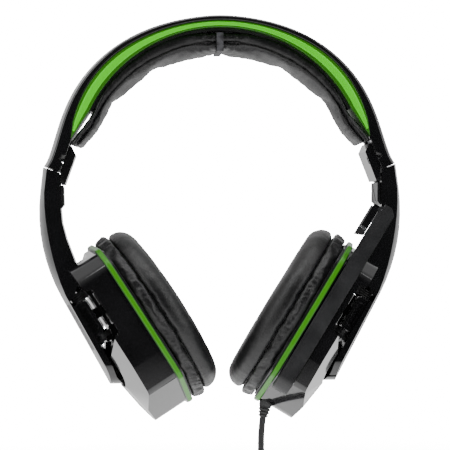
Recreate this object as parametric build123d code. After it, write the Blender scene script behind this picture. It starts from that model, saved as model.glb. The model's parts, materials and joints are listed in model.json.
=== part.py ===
from build123d import *
import os
from math import cos, pi, radians, sin

# Over-ear headset with a sliding headband, tilting ear cups and a swing-up microphone.
#
# Millimetres. +Z is up, +X is the wearer's left, -Y is the way the wearer faces. The origin is the
# point under the middle of the headband pad that rests on the crown of the head. Everything with a
# left and a right copy is modelled on the +X side and mirrored. A cup is modelled in its own frame:
# +X points out of the head, +Z up along the cup, and the accent ring lies in its YZ plane.

# Headband arch, as seen from the front: a flat top arc, two tighter shoulder arcs, straight ends
crown_height = 20.0
top_radius = 105.0
top_half_angle = 25.0
shoulder_radius = 75.0
end_angle = 69.5
straight_end = 29.1
band_half_width_top = 20.0
band_half_width_end = 15.4
band_half_span = 95.0
shell_crown_top = 1.5
shell_crown_end = 2.4
shell_wall = 2.4
shell_end_thickness = 9.4
channel_half_width = 11.0

# Accent liner: a lens between the shell and the pad, thin at its tips
lens_top_gap = 3.9
lens_upper_step = 9.0
lens_upper_half_angle = 29.0
lens_shoulder_step = 12.0
lens_upper_angle = 76.0
lens_tip_in = 9.05
lens_tip_above = 18.12
seat_drop = 7.6
seat_radius = 76.0
seat_angle = 64.0
liner_inset = 0.7

# Pad, its backing plate, its strap and the spring inside the shell
backing_thickness = 1.5
backing_half_width = 14.5
pad_half_width = 16.5
pad_under_radius = 73.0
pad_under_angle = 63.0
pad_clearance = 0.2
pad_tip_drop = 0.9
pad_heel = 7.2
strap_half_width = 1.9
strap_thickness = 0.8
strap_clearance = 0.15
spring_thickness = 0.8
spring_half_width = 8.0
spring_half_angle = 50.0
spring_gap = 0.3

# Sliding blade, the end guide that covers it and the slide itself
slide_travel = 25.0
blade_offset = 5.6
blade_thickness = 2.2
blade_half_width = 9.0
blade_above = 38.0
blade_root = 14.0
blade_clearance = 0.2
seam_gap = 0.4
guide_thickness = 4.7
guide_half_width = 14.4
guide_height = 11.5
guide_lip = 5.0
guide_shoulder = 3.4
guide_gap = 0.15
guide_screw_y = 12.3

# Arm: a crowned bar that curves in over the ear cup and ends in a thin leaf
arm_start_in = -0.53
arm_start_above = 1.19
arm_lean = 7.0
arm_top_run = 15.0
arm_bend_radius = 92.0
arm_sweep_end = -28.5
arm_leaf_run = 52.0
arm_blank_depth = 26.0
arm_bend_steps = 8
arm_crown_top = 2.6
arm_crown_leaf = 3.0
arm_half_width_top = 15.2
arm_half_width_leaf = 17.0
arm_corner_radius = 11.0
arm_inner_line = [(9.2, 21.2), (9.9, 29.7), (12.1, 38.2), (16.7, 50.8)]
insert_thickness = 1.7
insert_half_width = 12.0
insert_drop = 10.2
insert_length = 15.0
groove_width = 1.1
groove_depth = 0.9
groove_length = 27.0
groove_count = 3

# Ear cup
cup_inset = 50.3
cup_drop = 84.6
cup_tilt = 32.0
cup_toe = 5.0
cup_wall = 2.2
ring_half_thickness = 1.6
ring_proud = 1.7
ring_inner_inset = 2.6
ring_round = 1.0
rim_depth = 17.8
ridge_depth = 26.0
channel_floor = 13.8
channel_top = 32.5
channel_bottom = 5.3
arm_pocket_half_width = 20.5
arm_pocket_top = 2.6
leaf_pocket_half_width = 20.5
island_half_width = 9.0
island_height = 1.0
island_upper_out = 18.4
island_upper_up = 29.6
island_lower_out = 19.8
island_lower_up = 7.4
leaf_pocket_floor = 18.2
leaf_pocket_bottom = -22.0
cavity_depth = 11.5
chin_cavity_depth = 15.8
boss_radius = 3.0
boss_hole_radius = 1.0
boss_places = [(29.0, 27.0), (-29.0, 27.0), (23.0, -20.0), (-23.0, -20.0)]
baffle_thickness = 2.6
head_recess = 1.3
flange_thickness = 1.0
cushion_skirt = 3.0
cushion_gap = 0.3
spigot_clearance = 0.15
spigot_wall = 1.8

# Driver unit and cushion
driver_centre_z = 1.5
driver_radius = 20.0
driver_depth = 5.0
driver_rim = 1.6
magnet_radius = 11.0
magnet_depth = 4.0
diaphragm_radius = 17.5
mesh_radius = 23.0
mesh_thickness = 0.6
cushion_half_width = 42.3
cushion_half_height = 46.4
cushion_depth = 19.2
cushion_hole_half_width = 20.5
cushion_hole_half_height = 26.0
cushion_round = 6.0

# Cup pivot
pivot_out = 18.0
pivot_up = 18.5
pin_radius = 1.5
pin_half_length = 12.0
pin_clearance = 0.05
lug_radius = 2.8
lug_half_width = 5.0
bracket_half_width = 15.4
bracket_floor = 16.6
bracket_top = 22.4
bracket_high = 28.5
bracket_low = 8.5
bracket_slot_half_width = 5.3

# Screws
screw_radius = 0.95
screw_head_radius = 1.9
screw_head_height = 1.2
screw_length = 6.0

# Microphone boom, on the +X cup only, with its hub low on the front edge of the cup
boom_in = 2.6
boom_out = 10.8
boom_hub = (-35.0, -28.0)
boom_hub_radius = 8.4
boom_front = 43.4
boom_back = 35.6
boom_top = 73.5
boom_clearance = 0.35
boom_pin_radius = 2.0
boom_pin_end = 15.5
hinge_out = 3.6
hinge_up = 70.0
knuckle_radius = 1.9
knuckle_half_width = 1.6
mic_pin_radius = 0.6
mic_half_width = 3.6
mic_in = -2.2
mic_out = 2.3
mic_shell_bottom = 58.0
mic_ring_bottom = 57.0
mic_cap_bottom = 52.4
capsule_radius = 1.6
capsule_length = 2.6

# Lead: strain relief, free length, stored coil, tail and plug
cord_diameter = 3.5
relief_base = (4.2, -6.0, -43.5)
relief_lean = 12.0
relief_length = 10.0
relief_root = 2.5
relief_base_radius = 3.4
relief_tip_radius = 2.4
lead_points = [(19.9, -6.0, -198.2), (19.5, -6.2, -209.0), (19.8, -6.1, -225.0), (19.6, -6.0, -241.5)]
coil_mean_radius = 21.0
coil_layers = 3
coil_columns = 4
coil_pitch = 3.65
tie_clearance = 0.6
tie_thickness = 0.8
tie_width = 9.0
plug_top = -259.5
plug_body_radius = 3.6
plug_body_length = 16.0
plug_neck_length = 5.0
plug_pin_radius = 1.75
plug_pin_length = 14.0

parts = {}
UP = (0, 0, 1)


def direction(angle):
    """Unit vector in XZ, angle in degrees from +Z towards +X."""
    return Vector(sin(radians(angle)), 0, cos(radians(angle)))


def at(x, z):
    return Vector(x, 0, z)


def slab(face, half_width):
    """Extrudes a face in the XZ plane the same distance both ways along Y."""
    return extrude(face, amount=half_width, dir=(0, 1, 0), both=True)


def polygon(*points):
    """A closed face in the XZ plane from (x, z) points."""
    return make_face(Polyline(*[at(x, z) for x, z in points], close=True))


def block(x_range, y_range, z_range):
    low = Vector(x_range[0], y_range[0], z_range[0])
    size = Vector(x_range[1], y_range[1], z_range[1]) - low
    return Pos(low) * Box(size.X, size.Y, size.Z, align=(Align.MIN,) * 3)


def rod(centre, axis, radius, length):
    """A cylinder from centre along axis."""
    return Plane(origin=centre, z_dir=axis) * Cylinder(
        radius, length, align=(Align.CENTER, Align.CENTER, Align.MIN)
    )


def screw(tip_plane_point, axis, length=screw_length):
    """A pan-head screw: the head's underside is at the point and the shank runs along axis."""
    axis = Vector(axis)
    shank = rod(tip_plane_point, axis, screw_radius, length)
    head = rod(tip_plane_point, -axis, screw_head_radius, screw_head_height)
    slot = Plane(origin=Vector(tip_plane_point) - axis * screw_head_height, z_dir=axis) * Box(
        screw_head_radius * 3, 0.5, 0.8
    )
    return shank + head - slot


# ---------------------------------------------------------------- headband curves

top_centre = at(0, crown_height - top_radius)
shoulder_centre = top_centre + direction(top_half_angle) * (top_radius - shoulder_radius)


def arch_point(angle, offset=0.0):
    """A point on the arch, offset inwards from its outer line; angle is its slope in degrees."""
    if abs(angle) <= top_half_angle:
        return top_centre + direction(angle) * (top_radius - offset)
    centre = Vector(shoulder_centre)
    if angle < 0:
        centre.X = -centre.X
    return centre + direction(angle) * (shoulder_radius - offset)


slide_down = direction(end_angle + 90)
slide_in = direction(end_angle + 180)
end_point = arch_point(end_angle) + slide_down * straight_end


def arch_edges(offset, last_angle, run=0.0):
    """Edges of the offset arch from -X to +X, with a straight run past each end if one is given."""
    near = min(top_half_angle, last_angle)
    edges = [ThreePointArc(arch_point(-near, offset), arch_point(0, offset), arch_point(near, offset))]
    if last_angle > top_half_angle:
        middle = (top_half_angle + last_angle) / 2
        for side in (-1, 1):
            edges.append(
                ThreePointArc(
                    arch_point(side * near, offset),
                    arch_point(side * middle, offset),
                    arch_point(side * last_angle, offset),
                )
            )
    if run:
        for side in (-1, 1):
            start = arch_point(side * last_angle, offset)
            step = direction(last_angle + 90) * run
            edges.append(Line(start, start + Vector(side * step.X, 0, step.Z)))
    return edges


def in_slide(offset, height):
    """A point near the +X end of the band: offset in from its outer line, height above its end."""
    return end_point + slide_in * offset - slide_down * height


lens_tip = in_slide(lens_tip_in, lens_tip_above)
cup_centre = end_point - Vector(cup_inset, 0, cup_drop)


def slide_polygon(*places):
    return make_face(Polyline(*[in_slide(*place) for place in places], close=True))


def both_sides(edge_maker):
    """Edges for +X and their mirror images for -X."""
    edges = edge_maker()
    return edges + [mirror(edge, Plane.YZ) for edge in edges]


lens_upper_radius = top_radius - lens_upper_step
lens_shoulder_radius = shoulder_radius - lens_shoulder_step


def lens_upper_edges():
    """The line between the shell and the accent liner, from tip to tip."""
    centre = at(0, crown_height - lens_top_gap - lens_upper_radius)
    inner = centre + direction(lens_upper_half_angle) * (lens_upper_radius - lens_shoulder_radius)
    corner = centre + direction(lens_upper_half_angle) * lens_upper_radius
    last = inner + direction(lens_upper_angle) * lens_shoulder_radius
    middle = inner + direction((lens_upper_half_angle + lens_upper_angle) / 2) * lens_shoulder_radius
    top = at(0, crown_height - lens_top_gap)

    def half():
        flank = centre + direction(lens_upper_half_angle / 2) * lens_upper_radius
        return [
            ThreePointArc(top, flank, corner),
            ThreePointArc(corner, middle, last),
            Line(last, lens_tip),
        ]

    return both_sides(half)


def seat_edges(extra=0.0, last=None):
    """The line that the pad is seated on; extra moves it down towards the head."""
    centre = at(0, crown_height - seat_drop - seat_radius)
    radius = seat_radius - extra
    corner = centre + direction(seat_angle) * radius

    def half():
        flank = centre + direction(seat_angle / 2) * radius
        edges = [ThreePointArc(centre + Vector(0, 0, radius), flank, corner)]
        if last is not None:
            edges.append(Line(corner, last))
        return edges

    return both_sides(half), corner


def half_width_at(x):
    """Half the band's width, which narrows from its top to its ends."""
    share = min(1.0, abs(x) / band_half_span)
    return band_half_width_top - (band_half_width_top - band_half_width_end) * share**2


def band_plan(inset):
    """A prism with the band's outline from above, inset all along."""
    reach = band_half_span + 10
    end = half_width_at(band_half_span) - inset
    middle = half_width_at(0) - inset
    sides = []
    for side in (-1, 1):
        sides.append(
            ThreePointArc(
                (-reach, side * (end - 0.8), -120), (0, side * middle, -120), (reach, side * (end - 0.8), -120)
            )
        )
    caps = [
        Line((x, -(end - 0.8), -120), (x, end - 0.8, -120)) for x in (-reach, reach)
    ]
    return extrude(make_face(sides + caps), amount=160, dir=UP)


# ---------------------------------------------------------------- headband parts


def crowned_section(outer, inward, crown, half_width, depth):
    """A section across a crowned bar: flat sides and a back that bulges out by crown."""
    across = Vector(0, 1, 0)
    edge_front = outer + inward * crown - across * half_width
    edge_back = outer + inward * crown + across * half_width
    deep_front = outer + inward * depth - across * half_width
    deep_back = outer + inward * depth + across * half_width
    return make_face(
        [
            ThreePointArc(edge_front, outer, edge_back),
            Line(edge_back, deep_back),
            Line(deep_back, deep_front),
            Line(deep_front, edge_front),
        ]
    )


def headband_blank():
    """The crowned band before its underside is cut."""
    sections = []
    stations = [(-end_angle, straight_end)] + [(a, 0) for a in (-end_angle, -58, -44, -30, -15, 0)]
    stations += [(-a, run) for a, run in reversed(stations[:-1])]
    for angle, run in stations:
        side = -1 if angle < 0 else 1
        step = direction(abs(angle) + 90) * run
        outer = arch_point(angle) + Vector(side * step.X, 0, step.Z)
        share = abs(angle) / end_angle
        crown = shell_crown_top + (shell_crown_end - shell_crown_top) * share
        section = crowned_section(
            outer, direction(angle + 180), crown, half_width_at(outer.X), 16
        )
        sections.append(section)
    return loft(sections)


def under_lens():
    """Everything below the line between the shell and the liner, to cut the shell's underside."""
    low = in_slide(shell_end_thickness, -12)

    def half():
        knee = in_slide(shell_end_thickness, (lens_tip - in_slide(shell_end_thickness, 0)).dot(-slide_down))
        return [Line(lens_tip, knee), Line(knee, low)]

    edges = lens_upper_edges() + both_sides(half)
    edges.append(Line(low, Vector(-low.X, 0, low.Z)))
    return slab(make_face(edges), 30)


def headband_shell():
    blank = headband_blank() - under_lens()
    roof = arch_edges(shell_wall, end_angle, straight_end + 5)
    last = in_slide(shell_wall, -5)
    roof.append(Line(last, Vector(-last.X, 0, last.Z)))
    channel = slab(make_face(roof), channel_half_width)
    shell = blank - channel
    outer_edges = [
        edge
        for edge in shell.edges()
        if edge.length > 100 and abs(edge.center().Y) > channel_half_width + 2 and edge.center().Z > -20
    ]
    return fillet(outer_edges, 0.7)


def accent_liner():
    seat, corner = seat_edges(last=lens_tip)
    body = slab(make_face(lens_upper_edges() + seat), 30) & band_plan(liner_inset)
    return body


def pad_backing():
    upper, corner = seat_edges(guide_gap)
    lower, low_corner = seat_edges(guide_gap + backing_thickness)
    ends = both_sides(lambda: [Line(corner, low_corner)])
    return slab(make_face(upper + lower + ends), backing_half_width)


def pad_profile():
    """The pad seen from the front."""
    gap = guide_gap + backing_thickness + pad_clearance
    low_end = guide_height + guide_shoulder + pad_clearance
    tip = in_slide(shell_end_thickness + pad_clearance, lens_tip_above - pad_tip_drop)
    foot = in_slide(shell_end_thickness + pad_clearance, low_end)
    toe = in_slide(shell_end_thickness + guide_thickness, low_end)
    upper, corner = seat_edges(gap, tip)
    centre = at(0, -pad_under_radius)
    low_corner = centre + direction(pad_under_angle) * pad_under_radius
    heel = in_slide(shell_end_thickness + pad_heel, low_end + 2.0)

    def half():
        flank = centre + direction(pad_under_angle / 2) * pad_under_radius
        return [
            ThreePointArc(at(0, 0), flank, low_corner),
            Line(low_corner, heel),
            Line(heel, toe),
            Line(toe, foot),
            Line(foot, tip),
        ]

    return make_face(upper + both_sides(half))


def headband_pad():
    pad = slab(pad_profile(), pad_half_width)
    around = block((-strap_half_width, strap_half_width), (-30, 30), (-5, 30))
    core_half = pad_half_width - strap_thickness - strap_clearance * 2
    core = block((-9, 9), (-core_half, core_half), (strap_thickness + strap_clearance * 2, 40))
    return pad - (around - core)


def pad_strap():
    """A stitched strap that wraps the middle of the pad."""
    inner_half = pad_half_width - strap_thickness - strap_clearance
    top = crown_height - seat_drop - guide_gap - backing_thickness - pad_clearance - 0.6
    half_x = strap_half_width - strap_clearance
    outer = block((-half_x, half_x), (-pad_half_width, pad_half_width), (strap_clearance, top))
    inner = block(
        (-9, 9), (-inner_half, inner_half), (strap_clearance + strap_thickness, top + 9)
    )
    return outer - inner


def spring_band():
    offset = shell_wall + spring_gap
    upper = arch_edges(offset, spring_half_angle)
    lower = arch_edges(offset + spring_thickness, spring_half_angle)
    ends = [
        Line(arch_point(a, offset), arch_point(a, offset + spring_thickness))
        for a in (-spring_half_angle, spring_half_angle)
    ]
    return slab(make_face(upper + lower + ends), spring_half_width)


def end_guide():
    """The inner cover at the end of the band, with a lip that runs down over the arm."""
    near = shell_end_thickness + guide_gap
    far = near + guide_thickness
    face = slide_polygon(
        (near, 0.3),
        (near, guide_height + guide_shoulder),
        (near + 1.2, guide_height + guide_shoulder),
        (far, guide_height),
        (far, -guide_lip),
        (near + 1.6, -1.6),
        (near + 1.4, 0.3),
    )
    guide = slab(face, guide_half_width)
    for y in (-guide_screw_y, guide_screw_y):
        guide -= rod(in_slide(far + 1, 6.5) + Vector(0, y, 0), -slide_in, screw_head_radius + 0.15, 2.4)
        guide -= rod(in_slide(far + 1, 6.5) + Vector(0, y, 0), -slide_in, screw_radius + 0.1, 20)
    return guide


# ---------------------------------------------------------------- arm parts


def arm_stations():
    """(outer point, inward direction, crown, half width) along the arm, from its top to its tip."""
    start = in_slide(arm_start_in, arm_start_above)
    heading = direction(180 - arm_lean)
    knee = start + heading * arm_top_run
    centre = knee - direction(90 - arm_lean) * arm_bend_radius
    stations = [(start - heading * 8, arm_lean, arm_crown_top, arm_half_width_top)]
    for i in range(arm_bend_steps + 1):
        share = i / arm_bend_steps
        lean = arm_lean + (arm_sweep_end - arm_lean) * share
        crown = arm_crown_top + (arm_crown_leaf - arm_crown_top) * share + 1.6 * sin(pi * share)
        width = arm_half_width_top + (arm_half_width_leaf - arm_half_width_top) * share
        outer = centre + direction(90 - lean) * arm_bend_radius
        stations.append((outer, lean, crown, width))
    bend_end = stations[-1][0]
    leaf = direction(180 - arm_sweep_end)
    low_end = bend_end + leaf * arm_leaf_run * 1.15
    stations.append((low_end, arm_sweep_end, arm_crown_leaf, arm_half_width_leaf))
    return stations


def arm_blank():
    sections = [
        crowned_section(outer, -direction(90 - lean), crown, width, arm_blank_depth)
        for outer, lean, crown, width in arm_stations()
    ]
    return loft(sections, ruled=True)


def cup_place(out, up):
    """World XZ point for a place in the +X cup's own frame."""
    spin = radians(cup_tilt)
    x = cup_centre.X + out * cos(spin) + up * sin(spin)
    z = cup_centre.Z - out * sin(spin) + up * cos(spin)
    return (x, z)


def arm_inner_face():
    """Everything inside the arm's inner line, to cut its inner side."""
    line = [in_slide(9.5, 14), in_slide(9.5, 0.0)]
    line += [end_point - at(inset, drop) for inset, drop in arm_inner_line]
    line = [(p.X, p.Z) for p in line]
    line += [cup_place(*p) for p in ((14.5, 37.5), (21.0, 32.0), (22.4, 29.0), (22.4, 7.0))]
    line += [cup_place(*p) for p in ((23.4, -9.0), (24.7, -15.0), (24.3, -19.0), (25.0, -30))]
    line += [(20, line[-1][1] - 30), (20, line[0][1] + 20)]
    return polygon(*line)


def arm_outline():
    """The arm seen from the side: its lower end is rounded off."""
    bottom = arm_stations()[-2][0] + direction(180 - arm_sweep_end) * arm_leaf_run
    half = arm_half_width_leaf + 4
    face = make_face(
        Polyline(
            (0, -half, bottom.Z), (0, half, bottom.Z), (0, half, -30), (0, -half, -30), close=True
        )
    )
    tall = extrude(face, amount=150, dir=(1, 0, 0))
    corners = []
    for side in (-1, 1):
        y0 = side * arm_half_width_leaf
        y1 = side * (arm_half_width_leaf - arm_corner_radius)
        square = block(
            (0, 150), sorted((y1, y0 + side * 5)), (bottom.Z - 1, bottom.Z + arm_corner_radius)
        )
        round_off = rod((0, y1, bottom.Z + arm_corner_radius), (1, 0, 0), arm_corner_radius, 150)
        corners.append(square - round_off)
    return tall - corners[0] - corners[1]


def arm_grooves():
    """Shallow grip grooves along both edges of the arm's outer face, over the pivot."""
    cuts = []
    stations = arm_stations()
    start = stations[-2][0]
    along = direction(180 - arm_sweep_end)
    inward = -direction(90 - arm_sweep_end)
    for side in (-1, 1):
        for i in range(groove_count):
            across = arm_half_width_leaf - 3.2 - i * 2.4
            depth = arm_crown_leaf * (across / arm_half_width_leaf) ** 2
            centre = start + along * (5 + groove_length / 2) + inward * depth
            cut = Plane(
                origin=centre + Vector(0, side * across, 0), x_dir=along, z_dir=inward
            ) * Box(groove_length, groove_width, groove_depth * 2)
            cuts.append(cut)
    return cuts


def arm_shell():
    arm = arm_blank() - slab(arm_inner_face(), 30)
    top_cut = slide_polygon((-20, -seam_gap), (30, -seam_gap), (30, 40), (-20, 40))
    arm = (arm - slab(top_cut, 30)) & arm_outline()
    for cut in arm_grooves():
        arm -= cut
    root = slide_polygon(
        (blade_offset - 0.1, 5), (blade_offset - 0.1, -blade_root - 0.2), (20, -blade_root - 0.2), (20, 5)
    )
    arm -= slab(root, blade_half_width + 0.2)
    notch_out, notch_up = 22.4, 30.2
    notch = rod(Vector(cup_place(notch_out, notch_up)[0], -30, cup_place(notch_out, notch_up)[1]), (0, 1, 0), 1.9, 60)
    arm -= notch
    for x, y, z in bracket_screw_places():
        arm -= cup_rod((bracket_top - 1, y, z), screw_radius - 0.05 + 0.1, 3.6)
    for y in (-5.5, 5.5):
        arm -= rod(in_slide(blade_offset + 1, -9) + Vector(0, y, 0), -slide_in, screw_radius + 0.05, 4.0)
    return arm


def blade():
    """The strip that slides in the band; its root is screwed into the arm."""
    face = slide_polygon(
        (blade_offset, -blade_root),
        (blade_offset + blade_thickness, -blade_root),
        (blade_offset + blade_thickness, blade_above),
        (blade_offset, blade_above),
    )
    strip = slab(face, blade_half_width)
    for step in range(6):
        place = in_slide(blade_offset + blade_thickness, 6 + step * 5)
        strip -= Pos(place.X, 0, place.Z) * Rot(0, end_angle, 0) * Box(0.9, 2 * blade_half_width - 6, 0.9)
    for y in (-5.5, 5.5):
        strip -= rod(in_slide(20, -9) + Vector(0, y, 0), -slide_in, screw_radius + 0.1, 20)
    return strip


def blade_screws():
    """Two screws that hold the blade's root in the arm."""
    return [
        screw(in_slide(blade_offset + blade_thickness, -9) + Vector(0, y, 0), -slide_in, 4.2)
        for y in (-5.5, 5.5)
    ]


def arm_insert():
    """Ribbed inner cover of the arm, below the band's lip."""
    top = end_point.Z - insert_drop
    bottom = top - insert_length

    def inner_x(z):
        upper = in_slide(9.5, 0.0)
        knee = end_point - at(*arm_inner_line[0])
        share = (z - upper.Z) / (knee.Z - upper.Z)
        return upper.X + (knee.X - upper.X) * share - 0.05

    face = polygon(
        (inner_x(top), top),
        (inner_x(bottom + 3), bottom + 3),
        (inner_x(bottom + 3) - insert_thickness, bottom + 5),
        (inner_x(top) - insert_thickness, top),
    )
    plate = slab(face, insert_half_width)
    for step in (0.0, 6.5):
        groove = Pos(inner_x(top) - insert_thickness, 0, top - 6 - step) * Rot(35, 0, 0) * Box(1.0, 60, 0.8)
        plate -= groove
    return plate


# ---------------------------------------------------------------- cup parts, in the cup's frame


def into_place(shape):
    """Moves a shape of the pivot from the cup's frame, before it toes in, to the +X side."""
    return Pos(cup_centre) * Rot(0, cup_tilt, 0) * shape


def toed(shape):
    """Turns a shape of the cup's own so that the cup's front edge toes in towards the face."""
    return Rot(0, 0, -cup_toe) * shape


def into_cup(shape):
    return into_place(toed(shape))


def cup_rod(start, radius, length):
    """A world-frame rod that runs outwards along the cup's own X axis."""
    return into_place(rod(start, (1, 0, 0), radius, length))


def cup_outline(inset=0.0):
    """The shield-shaped outline of the cup in its YZ plane, inset if positive."""
    half = [(0, 48.8), (32, 44.8), (40.2, 37.0), (42.0, 12.0), (42.0, -12.0), (40.2, -29.0), (10.0, -45.2), (0, -46.0)]
    radii = [30.0, 9.0, 9.0, 40.0, 40.0, 4.0, 12.0, 20.0]
    points = [(0, y, z) for y, z in half] + [(0, -y, z) for y, z in reversed(half[1:-1])]
    all_radii = radii + radii[-2:0:-1]
    face = make_face(FilletPolyline(*points, radius=all_radii, close=True))
    if inset:
        face = offset(face, amount=-inset)
    return face


def prism(face, start, end):
    """Extrudes a YZ face from one depth to another along the cup's X axis."""
    return Pos(start, 0, 0) * extrude(face, amount=end - start, dir=(1, 0, 0))


def cup_cap():
    """The faceted outer form: a flat brow, a cross channel and a ridged chin."""
    side = polygon(
        (-5, 55), (rim_depth, 55), (rim_depth, 4.0), (24.0, -5.0), (25.2, -20.0), (20.6, -46.0), (18.1, -60), (-5, -60)
    )
    plan = make_face(
        Polyline(
            (-5, -50, 0), (15.7, -50, 0), (ridge_depth, -10, 0), (ridge_depth, 10, 0), (15.7, 50, 0), (-5, 50, 0),
            close=True,
        )
    )
    return slab(side, 60) & (Pos(0, 0, -60) * extrude(plan, amount=120, dir=UP))


def cup_cavity():
    inner = cup_outline(cup_wall)
    main = prism(inner, -1, cavity_depth)
    chin = prism(inner, -1, chin_cavity_depth) & slab(polygon((-2, 1.0), (40, 1.0), (40, -60), (-2, -60)), 60)
    ramp = 2.5
    keep = slab(
        polygon((channel_floor - ramp, 28.0), (channel_floor - ramp, 31.0), (arm_pocket_top - ramp, 52.0), (40, 52.0), (40, 28.0)),
        arm_pocket_half_width + cup_wall,
    )
    return (main - keep) + chin


def cup_housing():
    body = prism(cup_outline(), ring_half_thickness, 30) & cup_cap()
    channel = polygon(
        (channel_floor, channel_top - 1.5),
        (channel_floor, channel_bottom),
        (channel_floor + 6, channel_bottom - 2.4),
        (40, channel_bottom - 2.4),
        (40, channel_top),
        (rim_depth, channel_top),
    )
    arm_pocket = polygon((channel_floor, 30.5), (arm_pocket_top, 52.0), (40, 52.0), (40, 30.5))
    leaf_pocket = block(
        (leaf_pocket_floor, 40),
        (-leaf_pocket_half_width, leaf_pocket_half_width),
        (leaf_pocket_bottom, channel_bottom),
    )
    leaf_pocket = fillet(
        [e for e in leaf_pocket.edges().filter_by(Axis.X) if e.center().Z < leaf_pocket_bottom + 1], 10
    )
    body -= slab(channel, 60)
    body -= slab(arm_pocket, arm_pocket_half_width)
    body -= leaf_pocket
    body += channel_island()
    body -= cup_cavity()
    for y, z in boss_places:
        roof = cavity_depth if z > 0 else chin_cavity_depth
        body += rod((-ring_half_thickness + 0.1, y, z), (1, 0, 0), boss_radius, roof + ring_half_thickness + 0.4)
    for y, z in boss_places:
        body -= rod((-ring_half_thickness - 1, y, z), (1, 0, 0), boss_hole_radius, 9)
    return body


def channel_island():
    """A raised bed under the pivot block, with a stop at each end that limits the tilt."""
    return slab(
        polygon(
            (channel_floor - 1, channel_bottom - 2.4),
            (island_lower_out, channel_bottom - 2.4),
            (island_lower_out, island_lower_up - 1.2),
            (channel_floor + island_height, island_lower_up),
            (channel_floor + island_height, island_upper_up),
            (island_upper_out - 1.5, island_upper_up),
            (island_upper_out, island_upper_up + 1.2),
            (island_upper_out, channel_top),
            (channel_floor - 1, channel_top),
        ),
        island_half_width,
    )


def pivot_lug():
    """The lug that stands up in the channel and takes the pivot pin."""
    eye = Pos(pivot_out, 0, pivot_up) * Rot(90, 0, 0) * Cylinder(lug_radius, 2 * lug_half_width)
    stem = block(
        (channel_floor - 1.0, pivot_out),
        (-lug_half_width, lug_half_width),
        (pivot_up - lug_radius, pivot_up + lug_radius),
    )
    bore = Pos(pivot_out, 0, pivot_up) * Rot(90, 0, 0) * Cylinder(pin_radius + pin_clearance, 40)
    return eye + stem - bore


def accent_ring():
    ring = prism(cup_outline(-ring_proud) - cup_outline(ring_inner_inset), -ring_half_thickness, ring_half_thickness)
    rims = [face.outer_wire().edges() for face in ring.faces().filter_by(Axis.X)]
    return fillet([edge for rim in rims for edge in rim], ring_round)


def cushion_oval(grow):
    """The cushion's oval outline in the cup's YZ plane."""
    plane = Plane(origin=(0, 0, driver_centre_z), x_dir=(0, 1, 0), z_dir=(1, 0, 0))
    return plane * Ellipse(cushion_half_width + grow, cushion_half_height + grow)


def baffle():
    face = -ring_half_thickness
    plate = prism(cup_outline(1.0), face - flange_thickness, face)
    plate += prism(cushion_oval(-cushion_skirt), face - baffle_thickness, face)
    spigot_out = cup_outline(ring_inner_inset + spigot_clearance)
    spigot_in = cup_outline(ring_inner_inset + spigot_clearance + spigot_wall)
    plate += prism(spigot_out - spigot_in, face, ring_half_thickness - 0.2)
    plate -= rod((-10, 0, driver_centre_z), (1, 0, 0), driver_radius + 0.15, 20)
    mesh_seat = face - baffle_thickness + mesh_thickness + 0.05
    plate -= rod((mesh_seat - 5, 0, driver_centre_z), (1, 0, 0), mesh_radius + 0.15, 5)
    for y, z in boss_places:
        plate -= rod((face - 5, y, z), (1, 0, 0), screw_radius + 0.15, 8)
        plate -= rod((face - 9, y, z), (1, 0, 0), screw_head_radius + 0.15, 9 - baffle_thickness + head_recess)
        plate -= rod((face, y, z), (1, 0, 0), boss_radius + 0.2, 8)
    return plate


def baffle_screws():
    head = -ring_half_thickness - baffle_thickness + head_recess
    return [into_cup(screw((head, y, z), (1, 0, 0), 7.5)) for y, z in boss_places]


def driver_frame():
    """The driver's basket: a flanged cup with sound holes, open to the head."""
    start = -ring_half_thickness - 1.2
    body = rod((start, 0, driver_centre_z), (1, 0, 0), driver_radius, driver_depth)
    bowl = rod((start - 1, 0, driver_centre_z), (1, 0, 0), driver_radius - driver_rim, driver_depth)
    basket = body - bowl
    basket -= rod((start - 1, 0, driver_centre_z), (1, 0, 0), magnet_radius * 0.55, driver_depth + 9)
    for k in range(8):
        angle = radians(k * 45)
        y, z = 14.5 * sin(angle), driver_centre_z + 14.5 * cos(angle)
        basket -= rod((start - 1, y, z), (1, 0, 0), 2.0, driver_depth + 9)
    return basket


def driver_magnet():
    start = -ring_half_thickness - 1.2 + driver_depth
    return rod((start, 0, driver_centre_z), (1, 0, 0), magnet_radius, magnet_depth)


def driver_diaphragm():
    start = -ring_half_thickness - 0.6
    disc = rod((start, 0, driver_centre_z), (1, 0, 0), diaphragm_radius, 0.5)
    dome = rod((start - 0.5, 0, driver_centre_z), (1, 0, 0), 7.0, 0.5)
    return disc + dome


def speaker_mesh():
    """Cloth disc over the driver, on the head side of the baffle."""
    start = -ring_half_thickness - baffle_thickness
    return rod((start, 0, driver_centre_z), (1, 0, 0), mesh_radius, mesh_thickness)


def ear_cushion():
    """A ring cushion whose skirt reaches over the rim of the baffle."""
    back = -ring_half_thickness - flange_thickness - cushion_gap
    outer = prism(cushion_oval(0), back - cushion_depth, back)
    outer = fillet(outer.edges(), cushion_round)
    plane = Plane(origin=(0, 0, driver_centre_z), x_dir=(0, 1, 0), z_dir=(1, 0, 0))
    hole = prism(plane * Ellipse(cushion_hole_half_width, cushion_hole_half_height), back - cushion_depth - 1, 1)
    pocket_floor = -ring_half_thickness - baffle_thickness - cushion_gap
    pocket = prism(cushion_oval(cushion_gap - cushion_skirt), pocket_floor, 1)
    return outer - hole - pocket


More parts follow.
